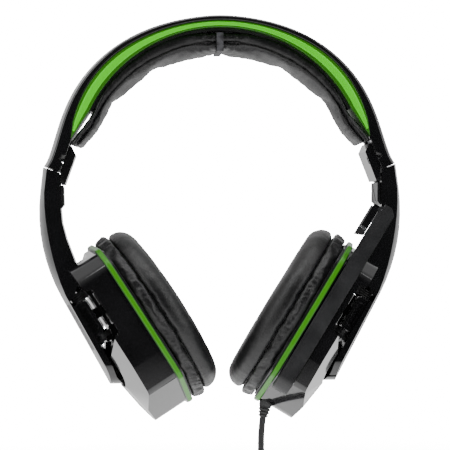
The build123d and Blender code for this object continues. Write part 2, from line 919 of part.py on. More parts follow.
def pivot_bracket():
    """The block under the arm that carries the pivot pin."""
    face = polygon(
        (bracket_floor, bracket_low), (bracket_top, bracket_low), (bracket_top, bracket_high), (bracket_floor, bracket_high)
    )
    body = slab(face, bracket_half_width)
    low_edges = [e for e in body.edges().filter_by(Axis.Y) if e.center().X < bracket_floor + 0.1]
    body = fillet(low_edges, 2.0)
    ends = [e for e in body.edges() if abs(abs(e.center().Y) - bracket_half_width) < 0.01]
    body = chamfer([e for e in ends if e.center().X < bracket_top - 0.1], 0.5)
    body -= block((0, 20.9), (-bracket_slot_half_width, bracket_slot_half_width), (-50, 60))
    body -= Pos(pivot_out, 0, pivot_up) * Rot(90, 0, 0) * Cylinder(pin_radius + 0.02, 2 * pin_half_length)
    for side in (-1, 1):
        y = side * bracket_half_width
        window = block((18.3, 20.7), (y - 1.1, y + 1.1), (pivot_up - 6.5, pivot_up + 6.5))
        body -= fillet(window.edges().filter_by(Axis.Y), 1.15)
    for x, y, z in bracket_screw_places():
        body -= rod((x - 5, y, z), (1, 0, 0), screw_head_radius + 0.1, 5)
        body -= rod((x - 5, y, z), (1, 0, 0), screw_radius + 0.1, 20)
    return body


def bracket_screw_places():
    """(head seat, y, z) of the bracket's four screws, in the cup's frame."""
    return [(18.4, y, z) for y in (-10.0, 10.0) for z in (bracket_low + 3.2, bracket_high - 3.2)]


def bracket_screws():
    return [into_place(screw((x, y, z), (1, 0, 0), 6.0)) for x, y, z in bracket_screw_places()]


def pivot_pin():
    return Pos(pivot_out, 0, pivot_up) * Rot(90, 0, 0) * Cylinder(pin_radius, 2 * pin_half_length)


# ---------------------------------------------------------------- microphone boom, in the cup's frame


def boom_outline(grow, start, end):
    """The boom from the side: a round hub and a straight bar up past the cup."""
    y, z = boom_hub
    hub = rod((start, y, z), (1, 0, 0), boom_hub_radius + grow, end - start)
    bar = block((start, end), (-boom_front - grow, -boom_back + grow), (z, boom_top + grow))
    return hub + bar


def boom_recess(grow):
    """The space that the boom rests in, grown by the same distance all round."""
    room = boom_clearance + grow
    return boom_outline(room, boom_in - room, boom_out + room)


def boom_arm():
    bar = boom_outline(0, boom_in, boom_out)
    y, z = boom_hub
    top = [e for e in bar.edges().filter_by(Axis.Y) if e.center().Z > boom_top - 1 and e.center().X > boom_out - 1]
    bar = chamfer(top, 3.0)
    bar -= rod((boom_in - 1, y, z), (1, 0, 0), boom_pin_radius + pin_clearance, 20)
    middle = -(boom_front + boom_back) / 2
    bar -= block((0, hinge_out + 0.3), (-60, 0), (hinge_up, 90))
    slot_half = knuckle_half_width + 0.2
    slot_depth = hinge_out + knuckle_radius + 0.4
    bar -= block((0, slot_depth), (middle - slot_half, middle + slot_half), (hinge_up - 3, 90))
    hinge_side = mic_pin_radius + 0.05
    for side in (-1, 1):
        start = middle + side * slot_half
        ear = rod((hinge_out, start, hinge_up), (0, side, 0), knuckle_radius, mic_half_width - slot_half)
        bar += ear
    bar -= rod((hinge_out, middle - 10, hinge_up), (0, 1, 0), hinge_side, 20)
    return bar


def boom_pin():
    y, z = boom_hub
    return rod((boom_in + 0.2, y, z), (1, 0, 0), boom_pin_radius, boom_pin_end - boom_in - 0.2)


def mic_middle():
    return -(boom_front + boom_back) / 2


def mic_section(low, high):
    """A stretch of the microphone head between two heights."""
    return block((mic_in, mic_out), (mic_middle() - mic_half_width, mic_middle() + mic_half_width), (low, high))


def mic_head_shell():
    body = mic_section(mic_shell_bottom, hinge_up - 0.4)
    body = fillet([e for e in body.edges().filter_by(Axis.Z) if e.center().X < 0], 1.2)
    for side in (-1, 1):
        y = mic_middle() + side * (mic_half_width + knuckle_half_width + 0.2) / 2
        half = (mic_half_width - knuckle_half_width - 0.2) / 2 + 0.2
        body -= rod((hinge_out, y - half, hinge_up), (0, 1, 0), knuckle_radius + 0.3, 2 * half)
    knuckle = rod(
        (hinge_out, mic_middle() - knuckle_half_width, hinge_up), (0, 1, 0), knuckle_radius, 2 * knuckle_half_width
    )
    web = block(
        (mic_in + 1.2, hinge_out),
        (mic_middle() - knuckle_half_width, mic_middle() + knuckle_half_width),
        (hinge_up - 3, hinge_up + knuckle_radius - 0.6),
    )
    web = web - block((mic_out + 0.05, 20), (-60, 0), (0, hinge_up - knuckle_radius + 0.2))
    body = body + knuckle + web
    return body - rod((hinge_out, mic_middle() - 10, hinge_up), (0, 1, 0), mic_pin_radius + 0.05, 20)


def mic_pin():
    return rod((hinge_out, mic_middle() - mic_half_width, hinge_up), (0, 1, 0), mic_pin_radius, 2 * mic_half_width)


def mic_ring():
    return mic_section(mic_ring_bottom, mic_shell_bottom)


def mic_cap():
    cap = mic_section(mic_cap_bottom, mic_ring_bottom)
    slant = polygon((mic_in - 1, 50), (mic_out + 1, 50), (mic_out + 1, mic_cap_bottom + 2.4), (mic_in - 1, 52.2))
    cap -= slab(slant, 60)
    return cap - mic_capsule_shape(0.05)


def mic_capsule_shape(grow):
    centre = ((mic_in + mic_out) / 2, mic_middle(), mic_ring_bottom)
    return rod(centre, (0, 0, -1), capsule_radius + grow, capsule_length + grow)


# ---------------------------------------------------------------- lead and plug, in the world frame

cord_radius = cord_diameter / 2
relief_axis = direction(180 + relief_lean)


def relief_start():
    place = into_cup(Pos(*relief_base))
    return place.position


def relief_outer(grow):
    """The buried root of the strain relief."""
    return rod(relief_start() - relief_axis * relief_root, relief_axis, relief_base_radius + grow, relief_root + 4.0)


def strain_relief():
    start = relief_start() + relief_axis * 4.0
    run = relief_length - 4.0
    boot = Plane(origin=start, z_dir=relief_axis) * Cone(
        relief_base_radius, relief_tip_radius, run, align=(Align.CENTER, Align.CENTER, Align.MIN)
    )
    return relief_outer(0) + boot


def corner_radii(points):
    """The largest radius that both runs beside each corner allow."""
    radii = []
    for before, corner, after in zip(points, points[1:], points[2:]):
        first, second = corner - before, after - corner
        half_turn = radians(first.get_angle(second) / 2)
        radii.append(0.45 * min(first.length, second.length) / sin(half_turn) * cos(half_turn))
    return radii


def tube(points):
    """A round cord along straight runs joined by tangent arcs."""
    points = [Vector(*point) for point in points]
    radii = corner_radii(points)
    path = FilletPolyline(*points, radius=radii)
    section = Plane(origin=points[0], z_dir=points[1] - points[0]) * Circle(cord_radius)
    body = sweep(section, path=path)
    expected = pi * cord_radius**2 * path.length
    print("cord radii", [round(r, 1) for r in radii], "length", round(path.length, 1))
    print("cord volume over section times length", round(body.volume / expected, 4))
    return body


coil_outer_lane = coil_mean_radius + coil_pitch * (coil_layers - 1) / 2
coil_half_depth = (coil_pitch * (coil_columns - 1) + cord_diameter) / 2
coil_half_width = (coil_pitch * (coil_layers - 1) + cord_diameter) / 2
lead_end = Vector(*lead_points[-1])
coil_centre = lead_end + Vector(coil_outer_lane, coil_half_depth - cord_radius, 0)


def ring_about_coil(inner, outer, half_depth):
    plane = Plane(origin=coil_centre, z_dir=(0, 1, 0))
    return plane * (Cylinder(outer, 2 * half_depth) - Cylinder(inner, 2 * half_depth))


def cord_coil():
    ring = ring_about_coil(
        coil_mean_radius - coil_half_width, coil_mean_radius + coil_half_width, coil_half_depth
    )
    return fillet(ring.edges(), 1.5)


def coil_tie():
    """A strap round the whole winding, where the lead comes in and the tail goes out."""
    half = (coil_half_width + tie_clearance, coil_half_depth + tie_clearance)
    middle = Pos(coil_centre - Vector(coil_mean_radius, 0, 0))
    outer = middle * Box(2 * half[0] + 2 * tie_thickness, 2 * half[1] + 2 * tie_thickness, tie_width)
    return outer - middle * Box(2 * half[0], 2 * half[1], tie_width + 1)


tail_start = Vector(lead_end.X, 2 * coil_centre.Y - lead_end.Y, lead_end.Z)


def cord_tail():
    return rod(tail_start, (0, 0, -1), cord_radius, tail_start.Z - plug_top)


def plug_body():
    top = Vector(tail_start.X, tail_start.Y, plug_top)
    neck = Plane(origin=top, z_dir=(0, 0, -1)) * Cone(
        cord_radius + 0.5, plug_body_radius - 0.5, plug_neck_length, align=(Align.CENTER, Align.CENTER, Align.MIN)
    )
    body = rod(top - Vector(0, 0, plug_neck_length), (0, 0, -1), plug_body_radius, plug_body_length - plug_neck_length)
    body = fillet(body.edges(), 0.5)
    return neck + body


def plug_pin():
    start = Vector(tail_start.X, tail_start.Y, plug_top - plug_body_length)
    pin = rod(start, (0, 0, -1), plug_pin_radius, plug_pin_length)
    tip = [e for e in pin.edges() if e.center().Z < start.Z - plug_pin_length + 0.1]
    return chamfer(tip, 0.9)


# ---------------------------------------------------------------- assembly


def add(name, *solids):
    """Keeps one node: a single solid, or several separate like pieces."""
    flat = [s for shape in solids for s in shape.solids()]
    parts[name] = flat[0] if len(flat) == 1 else Compound(children=flat)


def mirrored(*solids):
    return [mirror(shape, Plane.YZ) for shape in solids]


def both(name, *solids):
    """The +X copy is the wearer's left; its mirror image is the wearer's right."""
    add("left_" + name, *solids)
    add("right_" + name, *mirrored(*solids))


def build_headband():
    guide_screws = [
        screw(in_slide(shell_end_thickness + guide_gap + guide_thickness - 1.4, 6.5) + Vector(0, y, 0), -slide_in, 5.6)
        for y in (-guide_screw_y, guide_screw_y)
    ]
    shell = headband_shell()
    for seat in guide_screws:
        shell -= seat
    shell -= mirror(Compound(children=[s.solids()[0] for s in guide_screws]), Plane.YZ)
    liner = accent_liner() - slab(pad_profile(), 60) - spring_room()
    liner -= blade_room() + mirror(blade_room(), Plane.YZ)
    add("headband_shell", shell)
    add("accent_liner", liner)
    add("spring_band", spring_band())
    add("pad_backing", pad_backing())
    add("headband_pad", headband_pad())
    add("pad_strap", pad_strap())
    both("end_guide", end_guide())
    add("guide_screws", *guide_screws, *mirrored(*guide_screws))


def spring_room():
    """The liner is hollow over the spring, inside the channel."""
    return slab(make_face(arch_room()), spring_half_width + 1.0)


def blade_room():
    near = blade_offset - blade_clearance
    far = blade_offset + blade_thickness + blade_clearance
    top = blade_above + 1
    return slab(slide_polygon((near, -5), (far, -5), (far, top), (near, top)), blade_half_width + blade_clearance)


def arch_room():
    deep = shell_wall + spring_gap + spring_thickness + 0.2
    upper = arch_edges(0.0, spring_half_angle + 2)
    lower = arch_edges(deep, spring_half_angle + 2)
    limit = spring_half_angle + 2
    ends = [Line(arch_point(a, 0.0), arch_point(a, deep)) for a in (-limit, limit)]
    return upper + lower + ends


def build_arms():
    both("arm_shell", arm_shell())
    both("slider_blade", blade())
    both("blade_screws", *blade_screws())
    both("arm_insert", arm_insert())
    both("pivot_bracket", into_place(pivot_bracket()))
    both("bracket_screws", *bracket_screws())
    both("pivot_pin", into_place(pivot_pin()))


def build_cups():
    housing = cup_housing()
    add("right_cup_housing", mirror(into_place(toed(housing) + pivot_lug()), Plane.YZ))
    boom_side = housing + boom_wall() - boom_recess(0)
    y, z = boom_hub
    boom_side -= rod((boom_in - 3, y, z), (1, 0, 0), boom_pin_radius, boom_pin_end - boom_in + 3)
    boom_side = into_place(toed(boom_side) + pivot_lug()) - relief_outer(0)
    add("left_cup_housing", boom_side)
    ring = into_cup(accent_ring())
    add("right_accent_ring", mirror(ring, Plane.YZ))
    add("left_accent_ring", ring - relief_outer(0.1))
    plate = into_cup(baffle())
    add("right_baffle", mirror(plate, Plane.YZ))
    add("left_baffle", plate - relief_outer(0.1))
    both("baffle_screws", *baffle_screws())
    both("driver_frame", into_cup(driver_frame()))
    both("driver_magnet", into_cup(driver_magnet()))
    both("driver_diaphragm", into_cup(driver_diaphragm()))
    both("speaker_mesh", into_cup(speaker_mesh()))
    both("ear_cushion", into_cup(ear_cushion()))


def boom_wall():
    """Solid plastic round the boom's recess, inside the housing."""
    return boom_recess(2.0) & prism(cup_outline(0.01), ring_half_thickness + 0.1, cavity_depth + 3) & cup_cap()


def build_boom():
    add("boom_arm", into_cup(boom_arm()))
    add("boom_pin", into_cup(boom_pin()))
    add("mic_head_shell", into_cup(mic_head_shell()))
    add("mic_pin", into_cup(mic_pin()))
    add("mic_ring", into_cup(mic_ring()))
    add("mic_cap", into_cup(mic_cap()))
    add("mic_capsule", into_cup(mic_capsule_shape(0)))


def build_lead():
    add("strain_relief", strain_relief())
    add("cord_lead", tube([tuple(relief_start() + relief_axis * relief_length)] + lead_points))
    add("cord_coil", cord_coil())
    add("coil_tie", coil_tie())
    add("cord_tail", cord_tail())
    add("plug_body", plug_body())
    add("plug_pin", plug_pin())


def main():
    os.makedirs("parts", exist_ok=True)
    build_headband()
    build_arms()
    build_cups()
    build_boom()
    build_lead()
    for name, shape in parts.items():
        export_step(shape, f"parts/{name}.step")


main()
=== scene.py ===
"""The looks of an over-ear headset with a fold-up microphone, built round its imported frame.

Metres. +Z is up, +X is the wearer's left and -Y is the way the wearer faces.
"""
import json
from math import atan2, cos, exp, hypot, pi, radians, sin, sqrt

import bmesh
import bpy
from bpy.props import FloatProperty, FloatVectorProperty, IntProperty, PointerProperty
from mathutils import Matrix, Vector, noise
from mathutils.bvhtree import BVHTree


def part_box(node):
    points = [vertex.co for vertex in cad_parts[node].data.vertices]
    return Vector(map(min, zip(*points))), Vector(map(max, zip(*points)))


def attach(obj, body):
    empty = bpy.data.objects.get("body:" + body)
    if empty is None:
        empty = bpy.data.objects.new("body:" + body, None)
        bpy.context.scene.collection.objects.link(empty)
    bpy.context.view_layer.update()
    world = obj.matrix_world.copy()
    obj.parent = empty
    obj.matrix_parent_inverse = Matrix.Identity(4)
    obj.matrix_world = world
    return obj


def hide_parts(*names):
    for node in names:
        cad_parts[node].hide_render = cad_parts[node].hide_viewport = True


bl_info = {
    "name": "Over-ear headset",
    "version": (1, 0, 0),
    "blender": (4, 5, 0),
    "location": "3D View > Sidebar > Headset",
    "description": "Builds the looks of an over-ear headset round its frame",
    "category": "Object",
}

MM = 0.001
SIDES = ("left", "right")

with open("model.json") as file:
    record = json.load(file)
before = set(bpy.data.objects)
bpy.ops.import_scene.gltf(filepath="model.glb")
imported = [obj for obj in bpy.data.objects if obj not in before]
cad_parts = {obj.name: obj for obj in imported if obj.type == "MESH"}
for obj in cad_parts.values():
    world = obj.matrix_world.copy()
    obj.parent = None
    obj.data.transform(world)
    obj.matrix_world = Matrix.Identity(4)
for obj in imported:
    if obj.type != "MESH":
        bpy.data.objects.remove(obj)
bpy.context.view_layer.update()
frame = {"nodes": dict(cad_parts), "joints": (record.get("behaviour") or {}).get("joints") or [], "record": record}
joints = {joint["name"]: joint for joint in frame["joints"]}
mounts = {mount["name"]: mount for mount in frame["record"]["mounts"]}

# The left cup's own axes: out of the head, towards the back, and up along the cup
CUP_OUT = Vector(joints["mic_boom_swing"]["axis"])
CUP_BACK = Vector(joints["mic_head_fold"]["axis"])
CUP_UP = CUP_OUT.cross(CUP_BACK)
PAD_FACE = -22.1
RING_HALF = 1.6
RING_EDGE = 0.0002
OVAL_UP = 1.5
CUP_CENTRE = Vector(mounts["left_ear_pad"]["pos_m"]) - CUP_OUT * PAD_FACE * MM - CUP_UP * OVAL_UP * MM


# ---------------------------------------------------------------- sizes and colours


def length_setting(name, description, default):
    return FloatProperty(name=name, description=description, default=default, unit="LENGTH", precision=5)


def angle_setting(name, description, degrees):
    return FloatProperty(name=name, description=description, default=radians(degrees), subtype="ANGLE")


def number_setting(name, description, default):
    return FloatProperty(name=name, description=description, default=default)


def count_setting(name, description, default):
    return IntProperty(name=name, description=description, default=default)


def colour_setting(name, description, default):
    return FloatVectorProperty(name=name, description=description, default=default, subtype="COLOR")


class StageSettings(bpy.types.PropertyGroup):
    camera_distance: length_setting("Camera distance", "From the camera to the headset", 1.0)
    camera_turn: angle_setting("Camera turn", "How far the camera stands to the wearer's right", -3.6)
    camera_roll: angle_setting("Camera roll", "Turn about the line of sight", -0.7)
    lens: number_setting("Lens", "Focal length in millimetres", 150.9)
    floor_height: length_setting("Floor height", "Height of the floor", -0.3)
    brightness: number_setting("Brightness", "Strength of the studio light", 1.0)


class FinishSettings(bpy.types.PropertyGroup):
    gloss: colour_setting("Gloss black", "Colour of the polished mouldings", (0.005, 0.005, 0.0055))
    satin: colour_setting("Satin black", "Colour of the satin mouldings", (0.014, 0.014, 0.015))
    hide: colour_setting("Leatherette", "Colour of the pad and cushion covers", (0.0045, 0.0045, 0.005))
    accent: colour_setting("Accent", "Colour of the light strips", (0.06, 0.56, 0.004))
    border: colour_setting("Border", "Colour of the liner beside its strips", (0.022, 0.13, 0.004))
    ring: colour_setting("Ring", "Colour of the rings", (0.035, 0.2, 0.006))
    # Painted glow: the emission strength of the green plastics, which are no lamps.
    glow: number_setting("Glow", "How far the accent seems lit from within", 0.42)


class ShellSettings(bpy.types.PropertyGroup):
    edge: length_setting("Edge radius", "Rounding of moulded edges", 0.00055)
    fine_edge: length_setting("Fine edge radius", "Rounding on small parts", 0.0003)
    band_edge: length_setting("Band edge radius", "Rounding along the headband", 0.0012)
    band_steps: count_setting("Band steps", "Sections along the headband", 140)


class CushionSettings(bpy.types.PropertyGroup):
    steps: count_setting("Steps round", "Sections round the cushion before it is smoothed", 112)
    pressure: number_setting("Pressure", "How hard the filling pushes on the cover", 4.0)
    gather: length_setting("Gather depth", "Depth of the gathers beside the seam", 0.0004)
    gathers: count_setting("Gathers", "Number of gathers round a cushion", 104)
    stitches: count_setting("Stitches", "Stitches round a cushion's seam", 96)


class PadSettings(bpy.types.PropertyGroup):
    steps: count_setting("Steps along", "Sections along the pad before it is smoothed", 96)
    crease: length_setting("Crease depth", "Depth of the creases beside the strap", 0.0004)
    stitches: count_setting("Stitches", "Stitches along each seam", 84)


class LeadSettings(bpy.types.PropertyGroup):
    diameter: length_setting("Diameter", "Of the lead", 0.0035)
    coil_pitch: length_setting("Coil pitch", "Between turns of the stored coil", 0.00365)
    coil_radius: length_setting("Coil radius", "To the middle of the winding", 0.021)


class TrimSettings(bpy.types.PropertyGroup):
    rib_count: count_setting("Ribs", "Louvre ribs in each run", 4)
    rib_thickness: length_setting("Rib thickness", "Of a louvre rib", 0.0004)


# ---------------------------------------------------------------- places


def mirrored(points, side):
    """The right side is the left one's mirror image."""
    sign = 1 if side == "left" else -1
    return [Vector((sign * p[0], p[1], p[2])) for p in points]


def in_cup(out, back, up):
    """A point of the left cup from millimetres along its own axes."""
    return CUP_CENTRE + (CUP_OUT * out + CUP_BACK * back + CUP_UP * up) * MM


def cup_matrix():
    """Turns the left cup's own axes, in metres, into the frame's."""
    matrix = Matrix((CUP_OUT, CUP_BACK, CUP_UP)).transposed().to_4x4()
    matrix.translation = CUP_CENTRE
    return matrix


def tree_of(node):
    mesh = frame["nodes"][node].data
    return BVHTree.FromPolygons([v.co for v in mesh.vertices], [p.vertices for p in mesh.polygons])


def crossings(tree, origin, heading, limit=0.4):
    """Distances at which a ray passes through a solid's surfaces."""
    found, start = [], 0.0
    while start < limit:
        place, _, _, distance = tree.ray_cast(origin + heading * start, heading, limit - start)
        if place is None:
            break
        start += distance + 1e-6
        found.append(start)
    return found


# ---------------------------------------------------------------- meshes


def link(name, data):
    piece = bpy.data.objects.new(name, data)
    bpy.context.scene.collection.objects.link(piece)
    return piece


def made(name, mesh):
    """Links a mesh that was being edited as an object."""
    data = bpy.data.meshes.new(name)
    mesh.to_mesh(data)
    mesh.free()
    return link(name, data)


def settle(piece, body, material, slot, *nodes):
    """Gives a finished piece its finish, its body and the nodes that it stands for."""
    if material is not None:
        piece.data.materials.clear()
        piece.data.materials.append(material)
    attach(piece, body)
    if nodes:
        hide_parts(*nodes)
    return piece


def flatten(piece, name=None):
    """Turns a piece with modifiers into a plain mesh."""
    graph = bpy.context.evaluated_depsgraph_get()
    mesh = bpy.data.meshes.new_from_object(piece.evaluated_get(graph))
    piece.modifiers.clear()
    old = piece.data
    piece.data = mesh
    mesh.name = name or piece.name
    if old.users == 0:
        bpy.data.meshes.remove(old)
    return piece


def skin(name, rows, round_rows=False, caps=True):
    """A surface through closed loops of points; a ring if round_rows, else capped at both ends."""
    mesh = bmesh.new()
    loops = [[mesh.verts.new(p) for p in row] for row in rows]
    pairs = list(zip(loops, loops[1:]))
    if round_rows:
        pairs.append((loops[-1], loops[0]))
    for a, b in pairs:
        count = len(a)
        for i in range(count):
            j = (i + 1) % count
            mesh.faces.new((a[i], a[j], b[j], b[i]))
    if caps and not round_rows:
        mesh.faces.new(loops[0])
        mesh.faces.new(loops[-1][::-1])
    bmesh.ops.recalc_face_normals(mesh, faces=mesh.faces)
    if mesh.calc_volume(signed=True) < 0:
        bmesh.ops.reverse_faces(mesh, faces=mesh.faces)
    piece = made(name, mesh)
    piece.data.shade_smooth()
    return piece


def turned(name, profile, start, axis, segments=48):
    """A turned solid: profile holds (distance along the axis, radius), ending on the axis at both ends."""
    axis = Vector(axis).normalized()
    across = axis.orthogonal().normalized()
    beside = axis.cross(across)
    mesh = bmesh.new()
    rows = []
    for along, radius in profile:
        centre = Vector(start) + axis * along
        if radius == 0:
            rows.append([mesh.verts.new(centre)])
            continue
        turns = [2 * pi * i / segments for i in range(segments)]
        rows.append([mesh.verts.new(centre + (across * cos(t) + beside * sin(t)) * radius) for t in turns])
    for a, b in zip(rows, rows[1:]):
        for i in range(segments):
            j = (i + 1) % segments
            corners = [a[i % len(a)], a[j % len(a)], b[j % len(b)], b[i % len(b)]]
            mesh.faces.new(list(dict.fromkeys(corners)))
    bmesh.ops.recalc_face_normals(mesh, faces=mesh.faces)
    piece = made(name, mesh)
    piece.data.shade_smooth()
    return piece


def sharpen(piece, angle=32):
    piece.data.shade_smooth()
    piece.data.set_sharp_from_angle(angle=radians(angle))


def moulding(node, edge, angle, segments):
    """A copy of a packed moulding with its corners rounded as a mould rounds them."""
    source = frame["nodes"][node].data
    mesh = bmesh.new()
    verts = [mesh.verts.new(v.co) for v in source.vertices]
    for polygon in source.polygons:
        try:
            mesh.faces.new([verts[i] for i in polygon.vertices])
        except ValueError:
            continue
    bmesh.ops.remove_doubles(mesh, verts=mesh.verts, dist=2e-6)
    bmesh.ops.dissolve_degenerate(mesh, edges=mesh.edges, dist=1e-6)
    bmesh.ops.dissolve_limit(mesh, angle_limit=radians(0.6), verts=mesh.verts, edges=mesh.edges)
    piece = made(node + "_skin", mesh)
    piece.data.shade_smooth()
    rounding = piece.modifiers.new("rounding", "BEVEL")
    rounding.width = edge
    rounding.segments = segments
    rounding.limit_method = "ANGLE"
    rounding.angle_limit = radians(angle)
    rounding.use_clamp_overlap = True
    rounding.harden_normals = False
    even = piece.modifiers.new("even", "WEIGHTED_NORMAL")
    even.mode = "FACE_AREA"
    even.weight = 80
    even.keep_sharp = True
    return flatten(piece)


def moulded(node, body, material, edge, slot=None, angle=28, segments=3):
    """A rounded copy of a packed moulding, settled in that moulding's place."""
    piece = moulding(node, edge, angle, segments)
    return settle(piece, body, finishes[material], slot or material, node)


def inflate(piece, pins, pressure, cap, frames=20):
    """Lets a cover swell as cloth, held at its pinned points, and keeps the shape that it takes."""
    group = piece.vertex_groups.new(name="held")
    for index, weight in pins.items():
        group.add([index], weight, "REPLACE")
    cover = piece.modifiers.new("cover", "CLOTH")
    cloth = cover.settings
    cloth.quality = 6
    cloth.mass = 0.15
    cloth.tension_stiffness = 12
    cloth.compression_stiffness = 12
    cloth.bending_stiffness = 0.3
    cloth.use_pressure = True
    cloth.uniform_pressure_force = pressure
    cloth.shrink_min = -0.02
    cloth.vertex_group_mass = "held"
    cloth.effector_weights.gravity = 0
    cover.collision_settings.use_collision = False
    cover.point_cache.frame_start = 1
    cover.point_cache.frame_end = frames
    scene = bpy.context.scene
    for step in range(1, frames + 1):
        scene.frame_set(step)
    graph = bpy.context.evaluated_depsgraph_get()
    swollen = [v.co.copy() for v in piece.evaluated_get(graph).data.vertices]
    piece.modifiers.clear()
    piece.vertex_groups.clear()
    for vertex, place in zip(piece.data.vertices, swollen):
        move = place - vertex.co
        if move.length > cap:
            move *= cap / move.length
        vertex.co += move
    scene.frame_set(1)


def smoothed(piece, levels=2):
    """Subdivides a cover into its smooth final mesh."""
    rounding = piece.modifiers.new("smooth", "SUBSURF")
    rounding.levels = levels
    rounding.render_levels = levels
    flatten(piece)
    piece.data.shade_smooth()


def push(piece, height):
    """Moves each point of a cover along its normal by height(place)."""
    normals = [v.normal.copy() for v in piece.data.vertices]
    for vertex, normal in zip(piece.data.vertices, normals):
        vertex.co += normal * height(vertex.co.copy())
    piece.data.update()


# ---------------------------------------------------------------- node trees


class Desk:
    """The nodes of one tree."""

    def __init__(self, tree):
        self.nodes, self.links = tree.nodes, tree.links

    def node(self, kind, **settings):
        made = self.nodes.new(kind)
        for key, value in settings.items():
            setattr(made, key, value)
        return made

    def join(self, *wires):
        """Each wire is (node, output, node, input)."""
        for giver, output, taker, entry in wires:
            self.links.new(giver.outputs[output], taker.inputs[entry])

    def math(self, operation, first, second=0.0):
        step = self.node("ShaderNodeMath", operation=operation)
        for socket, value in zip(step.inputs, (first, second)):
            if isinstance(value, (int, float)):
                socket.default_value = value
            else:
                self.links.new(value, socket)
        return step.outputs["Value"]

    def ramp(self, value, low, high, start=0.0, end=1.0):
        """Spreads a value between two numbers."""
        spread = self.node("ShaderNodeMapRange")
        limits = {"From Min": start, "From Max": end, "To Min": low, "To Max": high}
        for name, limit in limits.items():
            spread.inputs[name].default_value = limit
        self.links.new(value, spread.inputs["Value"])
        return spread.outputs["Result"]


def layout_tree(name, inputs):
    """An empty geometry node tree with named inputs, its desk and its two end nodes."""
    tree = bpy.data.node_groups.new(name, "GeometryNodeTree")
    face = tree.interface
    face.new_socket("Geometry", in_out="INPUT", socket_type="NodeSocketGeometry")
    for label, kind, value in inputs:
        face.new_socket(label, in_out="INPUT", socket_type="NodeSocket" + kind).default_value = value
    face.new_socket("Geometry", in_out="OUTPUT", socket_type="NodeSocketGeometry")
    desk = Desk(tree)
    return tree, desk, desk.node("NodeGroupInput"), desk.node("NodeGroupOutput")


def laid_out(piece, tree, values):
    """Runs a geometry node tree on a piece, with its inputs set by name, and keeps the mesh."""
    layout = piece.modifiers.new("layout", "NODES")
    layout.node_group = tree
    inputs = {item.name: item.identifier for item in tree.interface.items_tree if item.in_out == "INPUT"}
    for name, value in values.items():
        layout[inputs[name]] = value
    return flatten(piece)


def painted(desk, material):
    paint = desk.node("GeometryNodeSetMaterial")
    paint.inputs["Material"].default_value = material
    return paint


def repeat_tree(name, block_size, material, count, rounding):
    """A node tree that sets rounded blocks at even steps along a path."""
    inputs = [("Count", "Int", count), ("Block size", "Vector", block_size)]
    tree, desk, start, end = layout_tree(name, inputs)
    curve = desk.node("GeometryNodeMeshToCurve")
    points = desk.node("GeometryNodeCurveToPoints")
    block = desk.node("GeometryNodeMeshCube")
    soften = desk.node("GeometryNodeSubdivisionSurface")
    soften.inputs["Level"].default_value = rounding
    place = desk.node("GeometryNodeInstanceOnPoints")
    real = desk.node("GeometryNodeRealizeInstances")
    shade = desk.node("GeometryNodeSetShadeSmooth")
    paint = painted(desk, material)
    desk.join(
        (start, "Geometry", curve, "Mesh"), (curve, "Curve", points, "Curve"),
        (start, "Count", points, "Count"), (start, "Block size", block, "Size"), (block, "Mesh", soften, "Mesh"),
        (points, "Points", place, "Points"), (points, "Rotation", place, "Rotation"),
        (soften, "Mesh", place, "Instance"), (place, "Instances", real, "Geometry"),
        (real, "Geometry", shade, "Geometry"), (shade, "Geometry", paint, "Geometry"),
        (paint, "Geometry", end, "Geometry"),
    )
    return tree


def path_mesh(name, paths):
    """Bare edges that a node tree follows; each path is (points, closed)."""
    verts, edges = [], []
    for points, closed in paths:
        first = len(verts)
        verts += [tuple(p) for p in points]
        edges += [(first + i, first + i + 1) for i in range(len(points) - 1)]
        if closed:
            edges.append((len(verts) - 1, first))
    data = bpy.data.meshes.new(name)
    data.from_pydata(verts, edges, [])
    return link(name, data)


def repeated(name, paths, block_size, material, count, rounding=2):
    """Rounded blocks along paths, as one plain mesh."""
    tree = repeat_tree(name + "_layout", block_size, material, count, rounding)
    return laid_out(path_mesh(name, paths), tree, {"Count": count, "Block size": block_size})


def scatter_tree(name, pattern, material):
    """A node tree that sets one fastener on each point, along that point's heading, at a chance turn."""
    tree, desk, start, end = layout_tree(name, [("Scale", "Float", 1.0), ("Seed", "Int", SCREW_SEED)])
    heading = desk.node("GeometryNodeInputNamedAttribute", data_type="FLOAT_VECTOR")
    heading.inputs["Name"].default_value = "heading"
    align = desk.node("FunctionNodeAlignRotationToVector", axis="Z")
    spin = desk.node("FunctionNodeRotateRotation", rotation_space="LOCAL")
    chance = desk.node("FunctionNodeRandomValue", data_type="FLOAT")
    chance.inputs[3].default_value = pi
    about = desk.node("ShaderNodeCombineXYZ")
    turn = desk.node("FunctionNodeEulerToRotation")
    shape = desk.node("GeometryNodeObjectInfo")
    shape.inputs["Object"].default_value = pattern
    place = desk.node("GeometryNodeInstanceOnPoints")
    real = desk.node("GeometryNodeRealizeInstances")
    paint = painted(desk, material)
    desk.join(
        (start, "Seed", chance, "Seed"), (chance, 1, about, "Z"), (about, "Vector", turn, "Euler"),
        (heading, "Attribute", align, "Vector"), (align, "Rotation", spin, "Rotation"),
        (turn, "Rotation", spin, "Rotate By"), (start, "Geometry", place, "Points"),
        (shape, "Geometry", place, "Instance"), (spin, "Rotation", place, "Rotation"),
        (start, "Scale", place, "Scale"), (place, "Instances", real, "Geometry"),
        (real, "Geometry", paint, "Geometry"), (paint, "Geometry", end, "Geometry"),
    )
    return tree


SCREW_RADIUS, SCREW_HEAD = 0.0019, 0.0012
SCREW_SEED = 3


